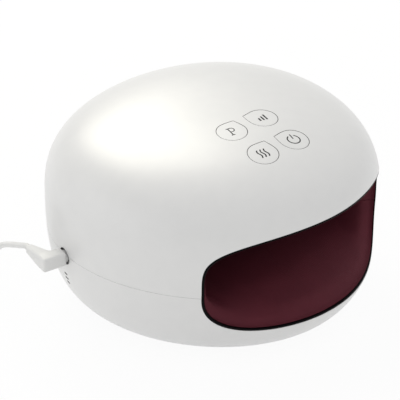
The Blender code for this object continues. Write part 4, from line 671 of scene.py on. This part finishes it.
# %% Places of the keys
PANEL_Y = -0.0370
KEY_RADIUS = 0.0090
KEY_CORNER = 0.0081
KEY_PITCH_X = 0.0241
KEY_PITCH_Y = 0.0269
KEY_TURN = math.radians(-4.0)
KEY_GAP = 0.00035
KEY_DEPTH = 0.0066
PANEL_STEPS = 4

panel_slope = (dome_z(0, PANEL_Y + WALL) - dome_z(0, PANEL_Y - WALL)) / (2 * WALL)
panel = Matrix.Translation((0, PANEL_Y, dome_z(0, PANEL_Y))) @ Matrix.Rotation(
    math.atan(panel_slope), 4, "X")
panel_up = panel.to_3x3() @ Vector((0, 0, 1))


def key_place(name, column, row, corner):
    """Name, place and heading of a key in the plane of the panel."""
    place = Matrix.Rotation(KEY_TURN, 2) @ Vector(
        (column * KEY_PITCH_X / 2, row * KEY_PITCH_Y / 2))
    return name, place.x, place.y, math.radians(corner) + KEY_TURN


KEYS = (key_place("program", -1, 1, 45), key_place("level", 1, 1, 135),
        key_place("heat", -1, -1, 45), key_place("power", 1, -1, 135))


def on_panel(x, y, rise=0.0):
    """A point of the dome over a place of the key panel, raised along the panel's normal."""
    z = 0.0
    for _ in range(PANEL_STEPS):
        place = panel @ Vector((x, y, z))
        z += dome_z(place.x, place.y) - place.z
    return panel @ Vector((x, y, z + rise))


print("key panel tilt:", round(math.degrees(math.atan(panel_slope)), 2), "degrees")

# %% Drop outline and the key holes
DROP_POINTS = 72
CUT_WALLS = 3


def drop_outline(grow, turn):
    """A round outline with one pointed corner at turn, grown by a margin."""
    line = []
    corner = math.radians(45)
    for i in range(DROP_POINTS):
        a = math.pi * (2 * i / DROP_POINTS - 1)
        radius = KEY_RADIUS
        if abs(a) < corner:
            side = KEY_CORNER + (KEY_RADIUS - KEY_CORNER) * math.sin(2 * abs(a))
            radius = side / math.cos(corner - abs(a))
        line.append(((radius + grow) * math.cos(a + turn), (radius + grow) * math.sin(a + turn)))
    return line


key_cutters = []
for name, x, y, turn in KEYS:
    ring = [panel @ Vector((x + u, y + v, -WALL * CUT_WALLS))
            for u, v in drop_outline(KEY_GAP, turn)]
    key_cutters.append(prism(f"{name}_hole", ring, panel_up * WALL * (2 * CUT_WALLS)))
print("key holes:", len(key_cutters))

# %% [markdown]
# ## Shells
#
# The upper shell runs from the top of the dome down to the parting line, a centimetre below
# the widest point. The lower shell goes on from there to the flat underside, and a lip inside
# its edge closes the fine line between the two.

# %% Helpers for the shells' profiles
DOME_SAMPLES = 2000
BASE_SAMPLES = 1000


def dome_samples():
    """Side of the dome from its top down to the widest line."""
    line = []
    for i in range(DOME_SAMPLES + 1):
        a = math.radians(90) * (1 - i / DOME_SAMPLES)
        reach = BODY_HALF_WIDTH * max(0.0, math.cos(a)) ** (2 / DOME_REACH_POWER) if i else 0.0
        rise = math.sin(a) ** (2 / DOME_RISE_POWER)
        line.append((reach, FOOT_PROUD + WIDEST_HEIGHT + (BODY_HEIGHT - WIDEST_HEIGHT) * rise))
    return line


def base_samples(first, last):
    """Side of the base between two heights above the underside, from the top down."""
    line = []
    for i in range(BASE_SAMPLES + 1):
        height = first + (last - first) * (1 - (1 - i / BASE_SAMPLES) ** 2)
        line.append((BODY_HALF_WIDTH * reach_share(height), FOOT_PROUD + height))
    return line


def evenly(line, count):
    """The same line with its points at even distances."""
    runs = runs_along(line)
    even = []
    k = 0
    for i in range(count + 1):
        run = runs[-1] * i / count
        while k < len(line) - 2 and runs[k + 1] < run:
            k += 1
        t = (run - runs[k]) / (runs[k + 1] - runs[k])
        even.append(tuple(p + (q - p) * t for p, q in zip(line[k], line[k + 1])))
    return even


def moved_in(line, distance):
    """The same line moved inwards, square to itself."""
    inner = []
    for i, (r, z) in enumerate(line):
        before, after = line[max(0, i - 1)], line[min(len(line) - 1, i + 1)]
        length = math.dist(before, after)
        inner.append((r + distance * (after[1] - before[1]) / length,
                      z - distance * (after[0] - before[0]) / length))
    return inner


print("samples of the dome's side:", len(dome_samples()))

# %% Profiles of the two shells
DOME_POINTS = 70
BASE_POINTS = 46
LIP_HEIGHT = 0.0022
LIP_WALL = 0.0011
PARTING_GAP = 0.00010

half_gap = PARTING_GAP / 2
dome_side = evenly(dome_samples() + base_samples(WIDEST_HEIGHT, PARTING_HEIGHT + half_gap)[1:],
                   DOME_POINTS)
edge = dome_side[-1][0]
lip_reach = edge - WALL + LIP_WALL
lip_top = PARTING_Z + LIP_HEIGHT
dome_inner = moved_in(dome_side, WALL)
dome_inner[0] = (0.0, dome_inner[0][1])
dome_inner = [p for p in dome_inner if p[1] > lip_top + 2 * SEAT_GAP]
dome_ring = dome_side + [(lip_reach + SEAT_GAP, dome_side[-1][1]),
                         (lip_reach + SEAT_GAP, lip_top + SEAT_GAP),
                         (edge - WALL, lip_top + SEAT_GAP)] + dome_inner[::-1]
base_side = evenly(base_samples(PARTING_HEIGHT - half_gap, 0.0), BASE_POINTS)
base_inner = moved_in(base_side + [(0.0, FOOT_PROUD)], WALL)
base_inner[-1] = (0.0, FOOT_PROUD + WALL)
base_inner[0] = (edge - WALL, lip_top)
base_ring = ([(0.0, FOOT_PROUD)] + base_side[::-1] + [
    (lip_reach, base_side[0][1]), (lip_reach, lip_top)] + base_inner)
print("profile points:", len(dome_ring), "and", len(base_ring))

# %% Sizes of the socket hole, vents, foot seats and screw wells
JACK_HOLE_RADIUS = 0.0054
VENT_COUNT = 3
VENT_SIZE = (0.0036, 0.0012)
VENT_PITCH = 0.0033
VENT_TOP_HEIGHT = 0.0337
VENT_ANGLE = math.radians(-108.5)
FOOT_COUNT = 5
FOOT_RING_RADIUS = 0.0640
FOOT_RADIUS = 0.0060
FOOT_RECESS = 0.0012
TOWER_AT = (0.0500, 0.0500)
TOWER_RECESS_RADIUS = 0.0035
ROUND_SIDES = 48
print("ring of feet:", 2 * FOOT_RING_RADIUS, "m across")

# %% Cutters of the holes
def ring_of(radius, frame_at):
    """A circle about the Z axis of a frame."""
    turns = [math.tau * i / ROUND_SIDES for i in range(ROUND_SIDES)]
    return [frame_at @ Vector((radius * math.cos(a), radius * math.sin(a), 0)) for a in turns]


def foot_places():
    """Feet at even angles round the underside, one at the front."""
    turns = [math.tau * i / FOOT_COUNT for i in range(FOOT_COUNT)]
    return [egg(FOOT_RING_RADIUS * math.sin(a), -FOOT_RING_RADIUS * math.cos(a)) for a in turns]


across_socket = socket_frame @ Matrix.Rotation(math.radians(90), 4, "Y")
outwards = socket_frame.to_3x3() @ Vector((1, 0, 0))
jack_cutter = prism("socket_hole", [p - outwards * CUT_WALLS * WALL for p in ring_of(
    JACK_HOLE_RADIUS, across_socket)], outwards * (2 * CUT_WALLS) * WALL)
base_cutters = []
for number in range(VENT_COUNT):
    place = Matrix.Translation(wall_point(VENT_ANGLE, VENT_TOP_HEIGHT - number * VENT_PITCH))
    place = place @ Matrix.Rotation(wall_heading(VENT_ANGLE), 4, "Z")
    width, height = VENT_SIZE
    slot_ring = []
    for i in range(ROUND_SIDES // 2):
        a = math.tau * i / (ROUND_SIDES // 2)
        side = math.copysign((width - height) / 2, math.cos(a))
        slot_ring.append(place @ Vector((
            -CUT_WALLS * WALL, side + height / 2 * math.cos(a), height / 2 * math.sin(a))))
    base_cutters.append(prism(
        f"vent_{number + 1}", slot_ring, place.to_3x3() @ Vector((2 * CUT_WALLS * WALL, 0, 0))))
for x, y in foot_places():
    seat = ring_of(FOOT_RADIUS + SEAT_GAP, Matrix.Translation((x, y, 0)))
    base_cutters.append(prism("foot_seat", seat, (0, 0, FOOT_PROUD + FOOT_RECESS)))
for side in (-1, 1):
    seat = ring_of(TOWER_RECESS_RADIUS, Matrix.Translation((side * TOWER_AT[0], TOWER_AT[1], 0)))
    base_cutters.append(prism("screw_well", seat, (0, 0, FOOT_PROUD + 2 * WALL)))
print("cutters of the base:", len(base_cutters))

# %% Helper for the outside of a moulding
OUTSIDE_GAP = 0.00025
FACING = 0.93


def finish_outside(piece, grey_and_shade_look):
    """Give the outside the true surface's normals, and the walls behind it dark grey: unsprayed
    moulding, darkened as painted shade in the gaps.
    """
    mesh = piece.data
    mesh.set_sharp_from_angle(angle=math.radians(SHARP_ANGLE))
    mesh.materials.append(grey_and_shade_look)
    gap = [off_surface(vert.co, is_high(vert.co)) for vert in mesh.vertices]
    out = [surface_normal(vert.co) if abs(d) < OUTSIDE_GAP else None
           for vert, d in zip(mesh.vertices, gap)]
    normals = [Vector((0, 0, 0))] * len(mesh.loops)
    for face in mesh.polygons:
        around = [out[v] for v in face.vertices]
        if all(n and n.dot(face.normal) > FACING for n in around):
            for loop in face.loop_indices:
                normals[loop] = out[mesh.loops[loop].vertex_index]
        elif min(gap[v] for v in face.vertices) < -2 * OUTSIDE_GAP and max(
                mesh.vertices[v].co.z for v in face.vertices) > FOOT_PROUD + OUTSIDE_GAP:
            # Walls well inside the outer surface take the dark grey, painted shade in the gaps.
            face.material_index = 1
    mesh.normals_split_custom_set(normals)


print("outside within", OUTSIDE_GAP, "m of the true surface")

# %% Carve both shells
upper_shell = piece_from(pressed(turned(dome_ring)), "upper_shell_pearl", pearl, "housing")
carve(upper_shell, [opening_cutter, jack_cutter, *key_cutters])
finish_outside(upper_shell, grey_walls_gap_shade)
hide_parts("upper_shell")
lower_shell = piece_from(pressed(turned(base_ring)), "lower_shell_pearl", pearl, "housing")
carve(lower_shell, [opening_cutter, jack_cutter, *base_cutters])
finish_outside(lower_shell, grey_walls_gap_shade)
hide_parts("lower_shell")
discard([opening_cutter, jack_cutter, *key_cutters, *base_cutters])
print("shell faces:", len(upper_shell.data.polygons), len(lower_shell.data.polygons))

# %% [markdown]
# ## Opening ring
#
# A thin glossy black ring lines the hand opening and hides the cut edge of the shells. It is a
# real black part, but its tone is darker than black plastic and its gloss weak: painted shade of
# the gap between shell and cushion. It follows the curved front, so a bent bar isn't enough: a
# ring of points is laid on the surface, then extruded inwards, back and out again, and the last
# loop is bridged to the first.

# %% Ring
EDGE_STEPS = 3
SOFT_SHARP_ANGLE = 60.0
RING_WALL = 0.0010
RING_DEPTH = 0.0060
RING_ROUND = 0.0007


def quarter_round(radius):
    """Distances of a rounded edge's points from its two flat sides."""
    angles = [math.radians(90) * step / EDGE_STEPS for step in range(EDGE_STEPS + 1)]
    return [(radius * (1 - math.sin(a)), radius * (1 - math.cos(a))) for a in angles]


section = [(SEAT_GAP, RING_DEPTH), (SEAT_GAP, LIP_ROUND)]
section += [(SEAT_GAP + RING_WALL - u, LIP_ROUND + v) for u, v in quarter_round(RING_ROUND)]
section.append((SEAT_GAP + RING_WALL, RING_DEPTH))
# The ring's near-black finish is partly painted shade of the gap behind it.
ring = piece_from(lofted([ring_loop(*place) for place in section], closed=True),
                  "opening_ring_black", black_ring_gap_shade, "housing",
                  sharp=SOFT_SHARP_ANGLE)
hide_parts("opening_ring")
print("ring faces:", len(ring.data.polygons))

# %% [markdown]
# ## Keys
#
# Each key is a cap that lies flush in the dome, with a soft edge and dark grey sides that
# make the thin line round it in the photograph; the grey on the sides is painted shade in the
# gap. The outline is drawn once at the foot of the cap, extruded up, and then in over the edge
# and across the top, each step laid on the curve of the dome.

# %% Key caps
KEY_ROUND = 0.00015
TOP_SHARES = (0.85, 0.65, 0.45, 0.25, 0.08)


def key_rings(x, y, turn):
    """Loops of a cap: its foot, its rounded edge, and smaller and smaller ones on its top."""
    rings = [[panel @ Vector((x + u, y + v, -KEY_DEPTH)) for u, v in drop_outline(0.0, turn)]]
    for down, inwards in quarter_round(KEY_ROUND):
        rings.append([on_panel(x + u, y + v, -down) for u, v in drop_outline(-inwards, turn)])
    line = drop_outline(-KEY_ROUND, turn)
    for share in TOP_SHARES:
        rings.append([on_panel(x + u * share, y + v * share) for u, v in line])
    return rings


for name, x, y, turn in KEYS:
    cap = piece_from(lofted(key_rings(x, y, turn), capped=True), f"{name}_cap", pearl,
                     f"{name}_key", sharp=SOFT_SHARP_ANGLE)
    # The cap's sides take the dark grey, painted shade in the gap round the key.
    finish_outside(cap, grey_walls_gap_shade)
    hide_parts(f"key_{name}")
print("keys:", len(KEYS))

# %% [markdown]
# ## Marks on the keys
#
# The marks are thin, nearly black print: a letter for the programme, rising bars for the
# level, three wavy lines for heat and the usual broken ring for power. Each stroke is a fine
# tube along a line, pressed nearly flat and laid on the dome, so that it has a real edge.

# %% Strokes of the marks
MARK_HEIGHT = 0.00006
MARK_TURN = math.radians(-15)
ARC_STEPS = 24


def stroke_shape(shape, line, width, x, y):
    """Add one stroke, a tube along a line of the key's plane pressed flat on the dome."""
    curve = bpy.data.curves.new("stroke", "CURVE")
    curve.dimensions = "3D"
    curve.bevel_depth = 0.5
    curve.bevel_resolution = 2
    curve.use_fill_caps = True
    spline = curve.splines.new("POLY")
    spline.points.add(len(line) - 1)
    for point, (u, v) in zip(spline.points, line):
        point.co = (u / width, v / width, 0, 1)
    holder = bpy.data.objects.new("stroke", curve)
    PIECES.objects.link(holder)
    mesh = bpy.data.meshes.new_from_object(
        holder.evaluated_get(bpy.context.evaluated_depsgraph_get()))
    bpy.data.objects.remove(holder, do_unlink=True)
    first = len(shape.verts)
    shape.from_mesh(mesh)
    shape.verts.ensure_lookup_table()
    for vert in shape.verts[first:]:
        u, v = vert.co.x * width, vert.co.y * width
        u, v = (u * math.cos(MARK_TURN) - v * math.sin(MARK_TURN),
                u * math.sin(MARK_TURN) + v * math.cos(MARK_TURN))
        vert.co = on_panel(x + u, y + v, vert.co.z * 2 * MARK_HEIGHT)


def arc(middle, radius, first, last, steps=ARC_STEPS):
    """Points of an arc between two angles in degrees; radius may be a pair."""
    wide, tall = radius if isinstance(radius, tuple) else (radius, radius)
    angles = [math.radians(first + (last - first) * i / steps) for i in range(steps + 1)]
    return [(middle[0] + wide * math.cos(a), middle[1] + tall * math.sin(a)) for a in angles]


print("mark height:", MARK_HEIGHT, "m")

# %% Marks
STROKE = 0.00076
FINE_STROKE = STROKE * 0.8
BAR = 0.0011
WAVE_SWAY = 0.0006
WAVE_HEIGHT = 0.0070
WAVE_PITCH = 0.0023
MARKS = {
    "program": [
        ([(-0.0010, -0.0036), (-0.0010, 0.0034)], STROKE),
        ([(-0.0010, 0.0034), *arc((0.0004, 0.0015), (0.0018, 0.0019), 90, -90),
          (-0.0010, -0.0004)], FINE_STROKE),
        ([(-0.0021, -0.0036), (0.0002, -0.0036)], FINE_STROKE),
        ([(-0.0021, 0.0034), (-0.0010, 0.0034)], FINE_STROKE),
    ],
    "level": [
        ([(u, -0.0026), (u, top)], BAR)
        for u, top in ((-0.0025, 0.0004), (-0.0003, 0.0017), (0.0019, 0.0030))
    ],
    "heat": [
        ([(WAVE_PITCH * k + WAVE_SWAY * math.sin(math.tau * i / ARC_STEPS),
           -WAVE_HEIGHT / 2 + WAVE_HEIGHT * i / ARC_STEPS) for i in range(ARC_STEPS + 1)],
         STROKE * 1.1) for k in (-1, 0, 1)
    ],
    "power": [
        (arc((0, 0), 0.0038, 118, 422, 2 * ARC_STEPS), STROKE),
        ([(0, 0.0006), (0, 0.0049)], STROKE),
    ],
}

for name, x, y, _ in KEYS:
    shape = bmesh.new()
    for line, width in MARKS[name]:
        stroke_shape(shape, line, width, x, y)
    piece_from(shape, f"{name}_mark", mark_ink, f"{name}_key")
print("marks:", len(MARKS))

# %% [markdown]
# ## Cushions
#
# The hand chamber is lined with two padded cushions, one below and one above, which meet at
# the parting line. Each is thick in the middle and rolls over at the front edge. A grid is
# bent round the cushion: along the tray behind it, over the rolled edge, and back across the
# crowned face. Padding has no sharp folds, so the face is then smoothed.

# %% Sizes of the cushions
CHAMBER_BACK = 0.0420
CHAMBER_DEPTH_POWER = 6.0
CHAMBER_REACH_POWER = 4.0
CUSHION_INSET = RING_WALL + 3 * SEAT_GAP
CUSHION_SETBACK = 0.0019
CUSHION_PAD = 0.0070
CUSHION_NOSE = 0.0155
CROWNS = {"upper": 0.0080, "lower": 0.0060}
BAG_RIM = 0.0011
BAG_CROWN = 0.0020
FILM_ROOM = 0.0008
print("cushion pad:", CUSHION_PAD, "m at the front edge")

# %% The chamber and the room for an air bag
BAG_SPAN_SHARES = ((0.2, 0.8, 0.2, 0.12), (0.3, 0.7, 0.06, 0.06))


def bag_room(side, depth_share, width_share):
    """Room behind a cushion for its air bag, and below for the heating film too."""
    inside = swell = 1.0
    for t, (first, last, fade_in, fade_out) in zip((depth_share, width_share), BAG_SPAN_SHARES):
        inside *= eased((t - first + fade_in) / fade_in) * eased((last + fade_out - t) / fade_out)
        swell *= max(0.0, math.sin(math.pi * (t - first) / (last - first)))
    return inside * (BAG_RIM + BAG_CROWN * math.sqrt(swell) + (FILM_ROOM if side < 0 else 0.0))


def chamber_point(angle, depth_share, inset, setback, side):
    """A point of the chamber's surface moved in by inset; side is 1 above the parting line."""
    x, z = opening_xz(angle, inset)
    start = front_y(x, PARTING_Z + z) + setback
    y = start + (CHAMBER_BACK - inset - start) * depth_share
    reach = (1 - depth_share**CHAMBER_DEPTH_POWER) ** (1 / CHAMBER_REACH_POWER)
    return Vector((x * reach, y, PARTING_Z + side * SEAT_GAP / 2 + z * reach))


def depth_at(t):
    """Depth share for an even step t, closer together where the chamber's end turns."""
    return 1 - (1 - t) ** 2 if t > 0 else 0.0


print("room behind the middle of the lower cushion:", round(bag_room(-1, 0.5, 0.5), 4), "m")

# %% Rows of a cushion
COLUMNS = 64
BACK_ROWS = 20
NOSE_ROWS = 10
FACE_ROWS = 36
FULLNESS_POWER = 0.75


def cushion_rows(side, crown):
    """Rows of points from the back of the cushion round its front edge to its face."""
    angles = even_angles(0.0, side * math.pi, COLUMNS)
    rows = []
    for j in range(BACK_ROWS, 0, -1):
        share = depth_at(j / BACK_ROWS)
        row = [chamber_point(a, share, CUSHION_INSET, CUSHION_SETBACK, side) for a in angles]
        for i, place in enumerate(row):
            place.z -= side * bag_room(side, share, i / COLUMNS)
        rows.append(row)
    for k in range(NOSE_ROWS + 1):
        inset = CUSHION_INSET + CUSHION_PAD * eased(k / NOSE_ROWS)
        setback = CUSHION_SETBACK + CUSHION_NOSE * k / NOSE_ROWS
        rows.append([chamber_point(a, 0.0, inset, setback, side) for a in angles])
    inset = CUSHION_INSET + CUSHION_PAD
    setback = CUSHION_SETBACK + CUSHION_NOSE
    for j in range(1, FACE_ROWS + 1):
        share = depth_at(j / FACE_ROWS)
        row = []
        for a in angles:
            place = chamber_point(a, share, inset, setback, side)
            across = max(0.0, 1 - (opening_xz(a, inset)[0] / (OPENING_HALF_WIDTH - inset)) ** 2)
            along = max(0.0, math.sin(math.pi * share**FULLNESS_POWER))
            place.z -= side * crown * across**2 * along
            row.append(place)
        rows.append(row)
    return rows


print("rows of a cushion:", BACK_ROWS + NOSE_ROWS + FACE_ROWS + 1)

# %% A closed cushion from its rows
SOFTEN = 10


def mapped_grid(rows):
    """A grid bent onto rows of points, with the flat grid kept as its UV map."""
    shape = bmesh.new()
    shape.loops.layers.uv.new("cloth")
    bmesh.ops.create_grid(shape, x_segments=len(rows[0]) - 1, y_segments=len(rows) - 1, size=1.0,
                          calc_uvs=True)
    row = shape.verts.layers.int.new("row")
    for vert in shape.verts:
        i = round((vert.co.x + 1) / 2 * (len(rows[0]) - 1))
        j = round((vert.co.y + 1) / 2 * (len(rows) - 1))
        vert.co = rows[j][i]
        vert[row] = j
    return shape


def closed_cushion(name, side):
    """Bend the grid, smooth the face, close the back, and keep each point's row."""
    shape = mapped_grid(cushion_rows(side, CROWNS[name]))
    row = shape.verts.layers.int["row"]
    soft = [v for v in shape.verts if v[row] > BACK_ROWS + 2 and abs(v.co.z - PARTING_Z) > SEAT_GAP]
    for _ in range(SOFTEN):
        bmesh.ops.smooth_vert(shape, verts=[v for v in soft if not v.is_boundary], factor=0.5,
                              use_axis_x=True, use_axis_y=True, use_axis_z=True)
    bmesh.ops.remove_doubles(shape, verts=shape.verts, dist=MERGE)
    bmesh.ops.holes_fill(shape, edges=[e for e in shape.edges if e.is_boundary])
    bmesh.ops.triangulate(shape, faces=[f for f in shape.faces if len(f.verts) > 4])
    bmesh.ops.recalc_face_normals(shape, faces=shape.faces)
    return shape


print("smoothing passes of a face:", SOFTEN)

# %% [markdown]
# ## Filling the cushions
#
# Real padding pushes the cloth out until its weave is tight, so the face swells most where
# nothing holds it and stays low along the seams. A short cloth simulation gives that: the
# back and the rim are pinned, air pressure fills the pad, and a cap on the movement keeps it
# in its place. The result replaces the mesh, so no simulation is left on the piece.

# %% Fill the cushions
FILL_PRESSURE = 4.0
FILL_FRAMES = 20
FILL_LIMIT = 0.0022
FILL_QUALITY = 6


def filled(piece, side, rows):
    """Swell a cushion by air pressure, with its back and its rim held."""
    last_held = BACK_ROWS + NOSE_ROWS // 2
    held = piece.vertex_groups.new(name="held")
    held.add([i for i, row in enumerate(rows) if row <= last_held], 1.0, "REPLACE")
    cloth = piece.modifiers.new("fill", "CLOTH")
    cloth.settings.quality = FILL_QUALITY
    cloth.settings.use_pressure = True
    cloth.settings.uniform_pressure_force = FILL_PRESSURE
    cloth.settings.vertex_group_mass = held.name
    cloth.settings.effector_weights.gravity = 0.0
    cloth.point_cache.frame_end = FILL_FRAMES
    for step in range(1, FILL_FRAMES + 1):
        bpy.context.scene.frame_set(step)
    rest = [v.co.copy() for v in piece.data.vertices]
    mesh = settle(piece)
    for vert, place in zip(mesh.vertices, rest):
        moved = vert.co - place
        if moved.length > FILL_LIMIT:
            moved.length = FILL_LIMIT
        vert.co = place + moved
        if side * (vert.co.z - PARTING_Z) < SEAT_GAP / 2:
            vert.co.z = place.z
    bpy.context.scene.frame_set(1)


for name, side in (("upper", 1), ("lower", -1)):
    shape = closed_cushion(name, side)
    rows = [v[shape.verts.layers.int["row"]] for v in shape.verts]
    cushion = piece_from(shape, f"{name}_cushion_knit", fabric, "housing",
                         sharp=SOFT_SHARP_ANGLE)
    filled(cushion, side, rows)
    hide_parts(f"{name}_cushion")
    print(cushion.name, len(cushion.data.polygons), "faces")

# %% [markdown]
# ## Elbow plug
#
# The plug is one soft white moulding: a square arm that goes straight into the socket and a
# leg that turns towards the back and tapers to the lead. A cube makes the corner, and two of
# its faces are extruded: one to the socket, and one along the leg. A round collar goes into
# the socket.

# %% Sizes of the plug
PLUG_WIDTH = 0.0086
PLUG_HEIGHT = 0.0090
PLUG_STAND_OFF = 0.0005
PLUG_TIP = (0.0046, 0.0052)
PLUG_ROUND = 0.0016
PLUG_COLLAR_RADIUS = 0.0038
JACK_NOSE_DEPTH = 0.0010
PLUG_SHARP_ANGLE = 50.0
print("plug:", PLUG_WIDTH, "x", PLUG_HEIGHT, "m")

# %% Plug
def grown_face(shape, direction):
    """Extrude the face that looks furthest in a direction, and give the new face's points."""
    face = max(shape.faces, key=lambda f: (f.normal + f.calc_center_median()).dot(direction))
    return bmesh.ops.extrude_discrete_faces(shape, faces=[face])["faces"][0].verts


shape = bmesh.new()
bmesh.ops.create_cube(shape, size=1.0)
bmesh.ops.scale(shape, vec=(PLUG_WIDTH, PLUG_WIDTH, PLUG_HEIGHT), verts=shape.verts)
bmesh.ops.translate(shape, vec=(PLUG_ARM, 0, 0), verts=shape.verts)
shape.normal_update()
for vert in grown_face(shape, Vector((-1, 0, 0))):
    vert.co.x = PLUG_STAND_OFF
for vert in grown_face(shape, Vector((0, -1, 0))):
    vert.co.x = PLUG_ARM + (vert.co.x - PLUG_ARM) * PLUG_TIP[0] / PLUG_WIDTH
    vert.co.y = -PLUG_LEG
    vert.co.z = vert.co.z * PLUG_TIP[1] / PLUG_HEIGHT - PLUG_DROOP
bmesh.ops.remove_doubles(shape, verts=shape.verts, dist=MERGE)
bmesh.ops.bevel(shape, geom=list(shape.edges), offset=PLUG_ROUND, offset_type="OFFSET",
                affect="EDGES", segments=5, profile=0.5, material=-1, clamp_overlap=True)
bmesh.ops.create_cone(
    shape, cap_ends=True, segments=ROUND_SIDES, radius1=PLUG_COLLAR_RADIUS,
    radius2=PLUG_COLLAR_RADIUS, depth=PLUG_ARM / 2,
    matrix=Matrix.Translation((PLUG_ARM / 4 + SEAT_GAP - JACK_NOSE_DEPTH, 0, 0)) @ Matrix.Rotation(
        math.radians(90), 4, "Y"))
bmesh.ops.transform(shape, matrix=socket_frame, verts=shape.verts)
bmesh.ops.recalc_face_normals(shape, faces=shape.faces)
plug = piece_from(shape, "elbow_plug", cord_white, "supply_lead",
                  sharp=PLUG_SHARP_ANGLE)
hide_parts("cord_plug")
lead_curve.materials.append(cord_white)
print("plug faces:", len(plug.data.polygons))

# %% [markdown]
# ## Feet
#
# Five rubber feet let the body stand 2 mm clear of the table. Each is a low disc with a
# rounded edge and a shallow hollow below, spun from a short profile and set into its seat in
# the underside.

# %% Feet
FOOT_ROUND = 0.0006
HOLLOW_SHARES = (0.70, 0.75)
foot_line = [(0.0, FOOT_ROUND / 3), (FOOT_RADIUS * HOLLOW_SHARES[0], FOOT_ROUND / 3),
             (FOOT_RADIUS * HOLLOW_SHARES[1], 0.0)]
foot_line += [(FOOT_RADIUS - u, v) for u, v in quarter_round(FOOT_ROUND)]
foot_line += [(FOOT_RADIUS, FOOT_PROUD + FOOT_RECESS - SEAT_GAP),
              (0.0, FOOT_PROUD + FOOT_RECESS - SEAT_GAP)]
for number, (x, y) in enumerate(foot_places(), 1):
    shape = turned(foot_line, ROUND_SIDES)
    bmesh.ops.translate(shape, vec=(x, y, 0), verts=shape.verts)
    foot = piece_from(shape, f"rubber_foot_{number}", foot_rubber, "housing")
    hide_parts(f"foot_{number}")
print("feet:", FOOT_COUNT)

# %% [markdown]
# ## The pieces inside
#
# The CAD pieces that stay are right in shape, so they only get their finishes: black plastic
# for trays and switches, green for the boards, steel for screws and motor, and brass for the
# pump's rotor and the valves' plungers.

# %% Finishes of the CAD pieces that stay
FINISH_OF = {
    "satin_black": satin_black, "cord_white": cord_white, "board_green": board_green,
    "steel": steel, "brass": brass, "cell_blue": cell_blue, "bladder_film": bladder_grey,
    "clear_tube": clear_tube, "amber_film": amber_film,
}
staying = [node for node in frame["nodes"].values() if not node.hide_render]
for node in staying:
    for place in node.material_slots:
        place.material = FINISH_OF[place.material.name.split(".")[0]]
print("dressed CAD nodes:", len(staying))

# %% [markdown]
# ## Floor and light
#
# The object stands on a plain white table under large soft lamps, as in a product studio.
# The table and the sky show white to the camera and in gloss, while the light that falls on
# the object stays lower, and the table still takes the faint shadow. A warm lamp behind the
# object, left of the camera's line, makes the broad highlight on the dome, and a wide one
# further left lights that side.

# %% Floor
FLOOR_SIZE = 6.0
GLOW_SHARE = 0.93
TABLE_WHITE = (0.93, 0.93, 0.93, 1.0)


def seen_rays(tree):
    """1 for what the camera sees straight, in gloss or through glass, 0 for falling light."""
    path = new_node(tree, "LightPath")
    total = path.outputs["Is Camera Ray"]
    for ray in ("Is Glossy Ray", "Is Transmission Ray"):
        more = new_node(tree, "Math")
        more.operation = "MAXIMUM"
        tree.links.new(total, more.inputs[0])
        tree.links.new(path.outputs[ray], more.inputs[1])
        total = more.outputs["Value"]
    return total


def blended(tree, share, plain, seen, output):
    """Mix two shaders by a share, from the plain one to the one that is seen."""
    blend = new_node(tree, "MixShader")
    tree.links.new(share, blend.inputs["Fac"])
    tree.links.new(plain.outputs[0], blend.inputs[1])
    tree.links.new(seen.outputs[0], blend.inputs[2])
    tree.links.new(blend.outputs["Shader"], tree.nodes[output].inputs["Surface"])


shape = bmesh.new()
bmesh.ops.create_grid(shape, x_segments=1, y_segments=1, size=FLOOR_SIZE / 2)
floor_finish = bpy.data.materials.new("white_table")
tree, matt = with_nodes(floor_finish)
set_sockets(matt, Base_Color=TABLE_WHITE, Roughness=0.8)
share = new_node(tree, "Math")
share.operation = "MULTIPLY"
share.inputs[1].default_value = GLOW_SHARE
tree.links.new(seen_rays(tree), share.inputs[0])
blended(tree, share.outputs["Value"], matt, new_node(tree, "Emission"), "Material Output")
floor = piece_from(shape, "table_top", floor_finish)
print("table:", FLOOR_SIZE, "m wide")

# %% World and lamps
WORLD_STRENGTH = 0.822
world = bpy.data.worlds.new("studio")
bpy.context.scene.world = world
tree, plain = with_nodes(world, "Background")
set_sockets(plain, Color=(1.0, 1.0, 1.0, 1.0), Strength=WORLD_STRENGTH)
blended(tree, seen_rays(tree), plain, new_node(tree, "Background"), "World Output")
LAMPS = (
    ("key_lamp", (0.386, 0.846, 0.913), (0.64, 0.78), 5.05, (1.0, 0.97, 0.85)),
    ("left_fill", (-1.250, 0.720, 0.390), (1.60, 1.60), 2.4, (1.0, 1.0, 1.0)),
)
for name, place, (width, height), power, colour in LAMPS:
    lamp_data = bpy.data.lights.new(name, "AREA")
    lamp_data.shape = "RECTANGLE"
    lamp_data.size, lamp_data.size_y = width, height
    lamp_data.energy = power
    lamp_data.color = colour
    lamp = bpy.data.objects.new(name, lamp_data)
    lamp.location = place
    lamp.rotation_euler = (AIM - Vector(place)).to_track_quat("-Z", "Y").to_euler()
    bpy.context.scene.collection.objects.link(lamp)
print("lamps:", len(LAMPS))

# %% Update the scene
bpy.context.view_layer.update()
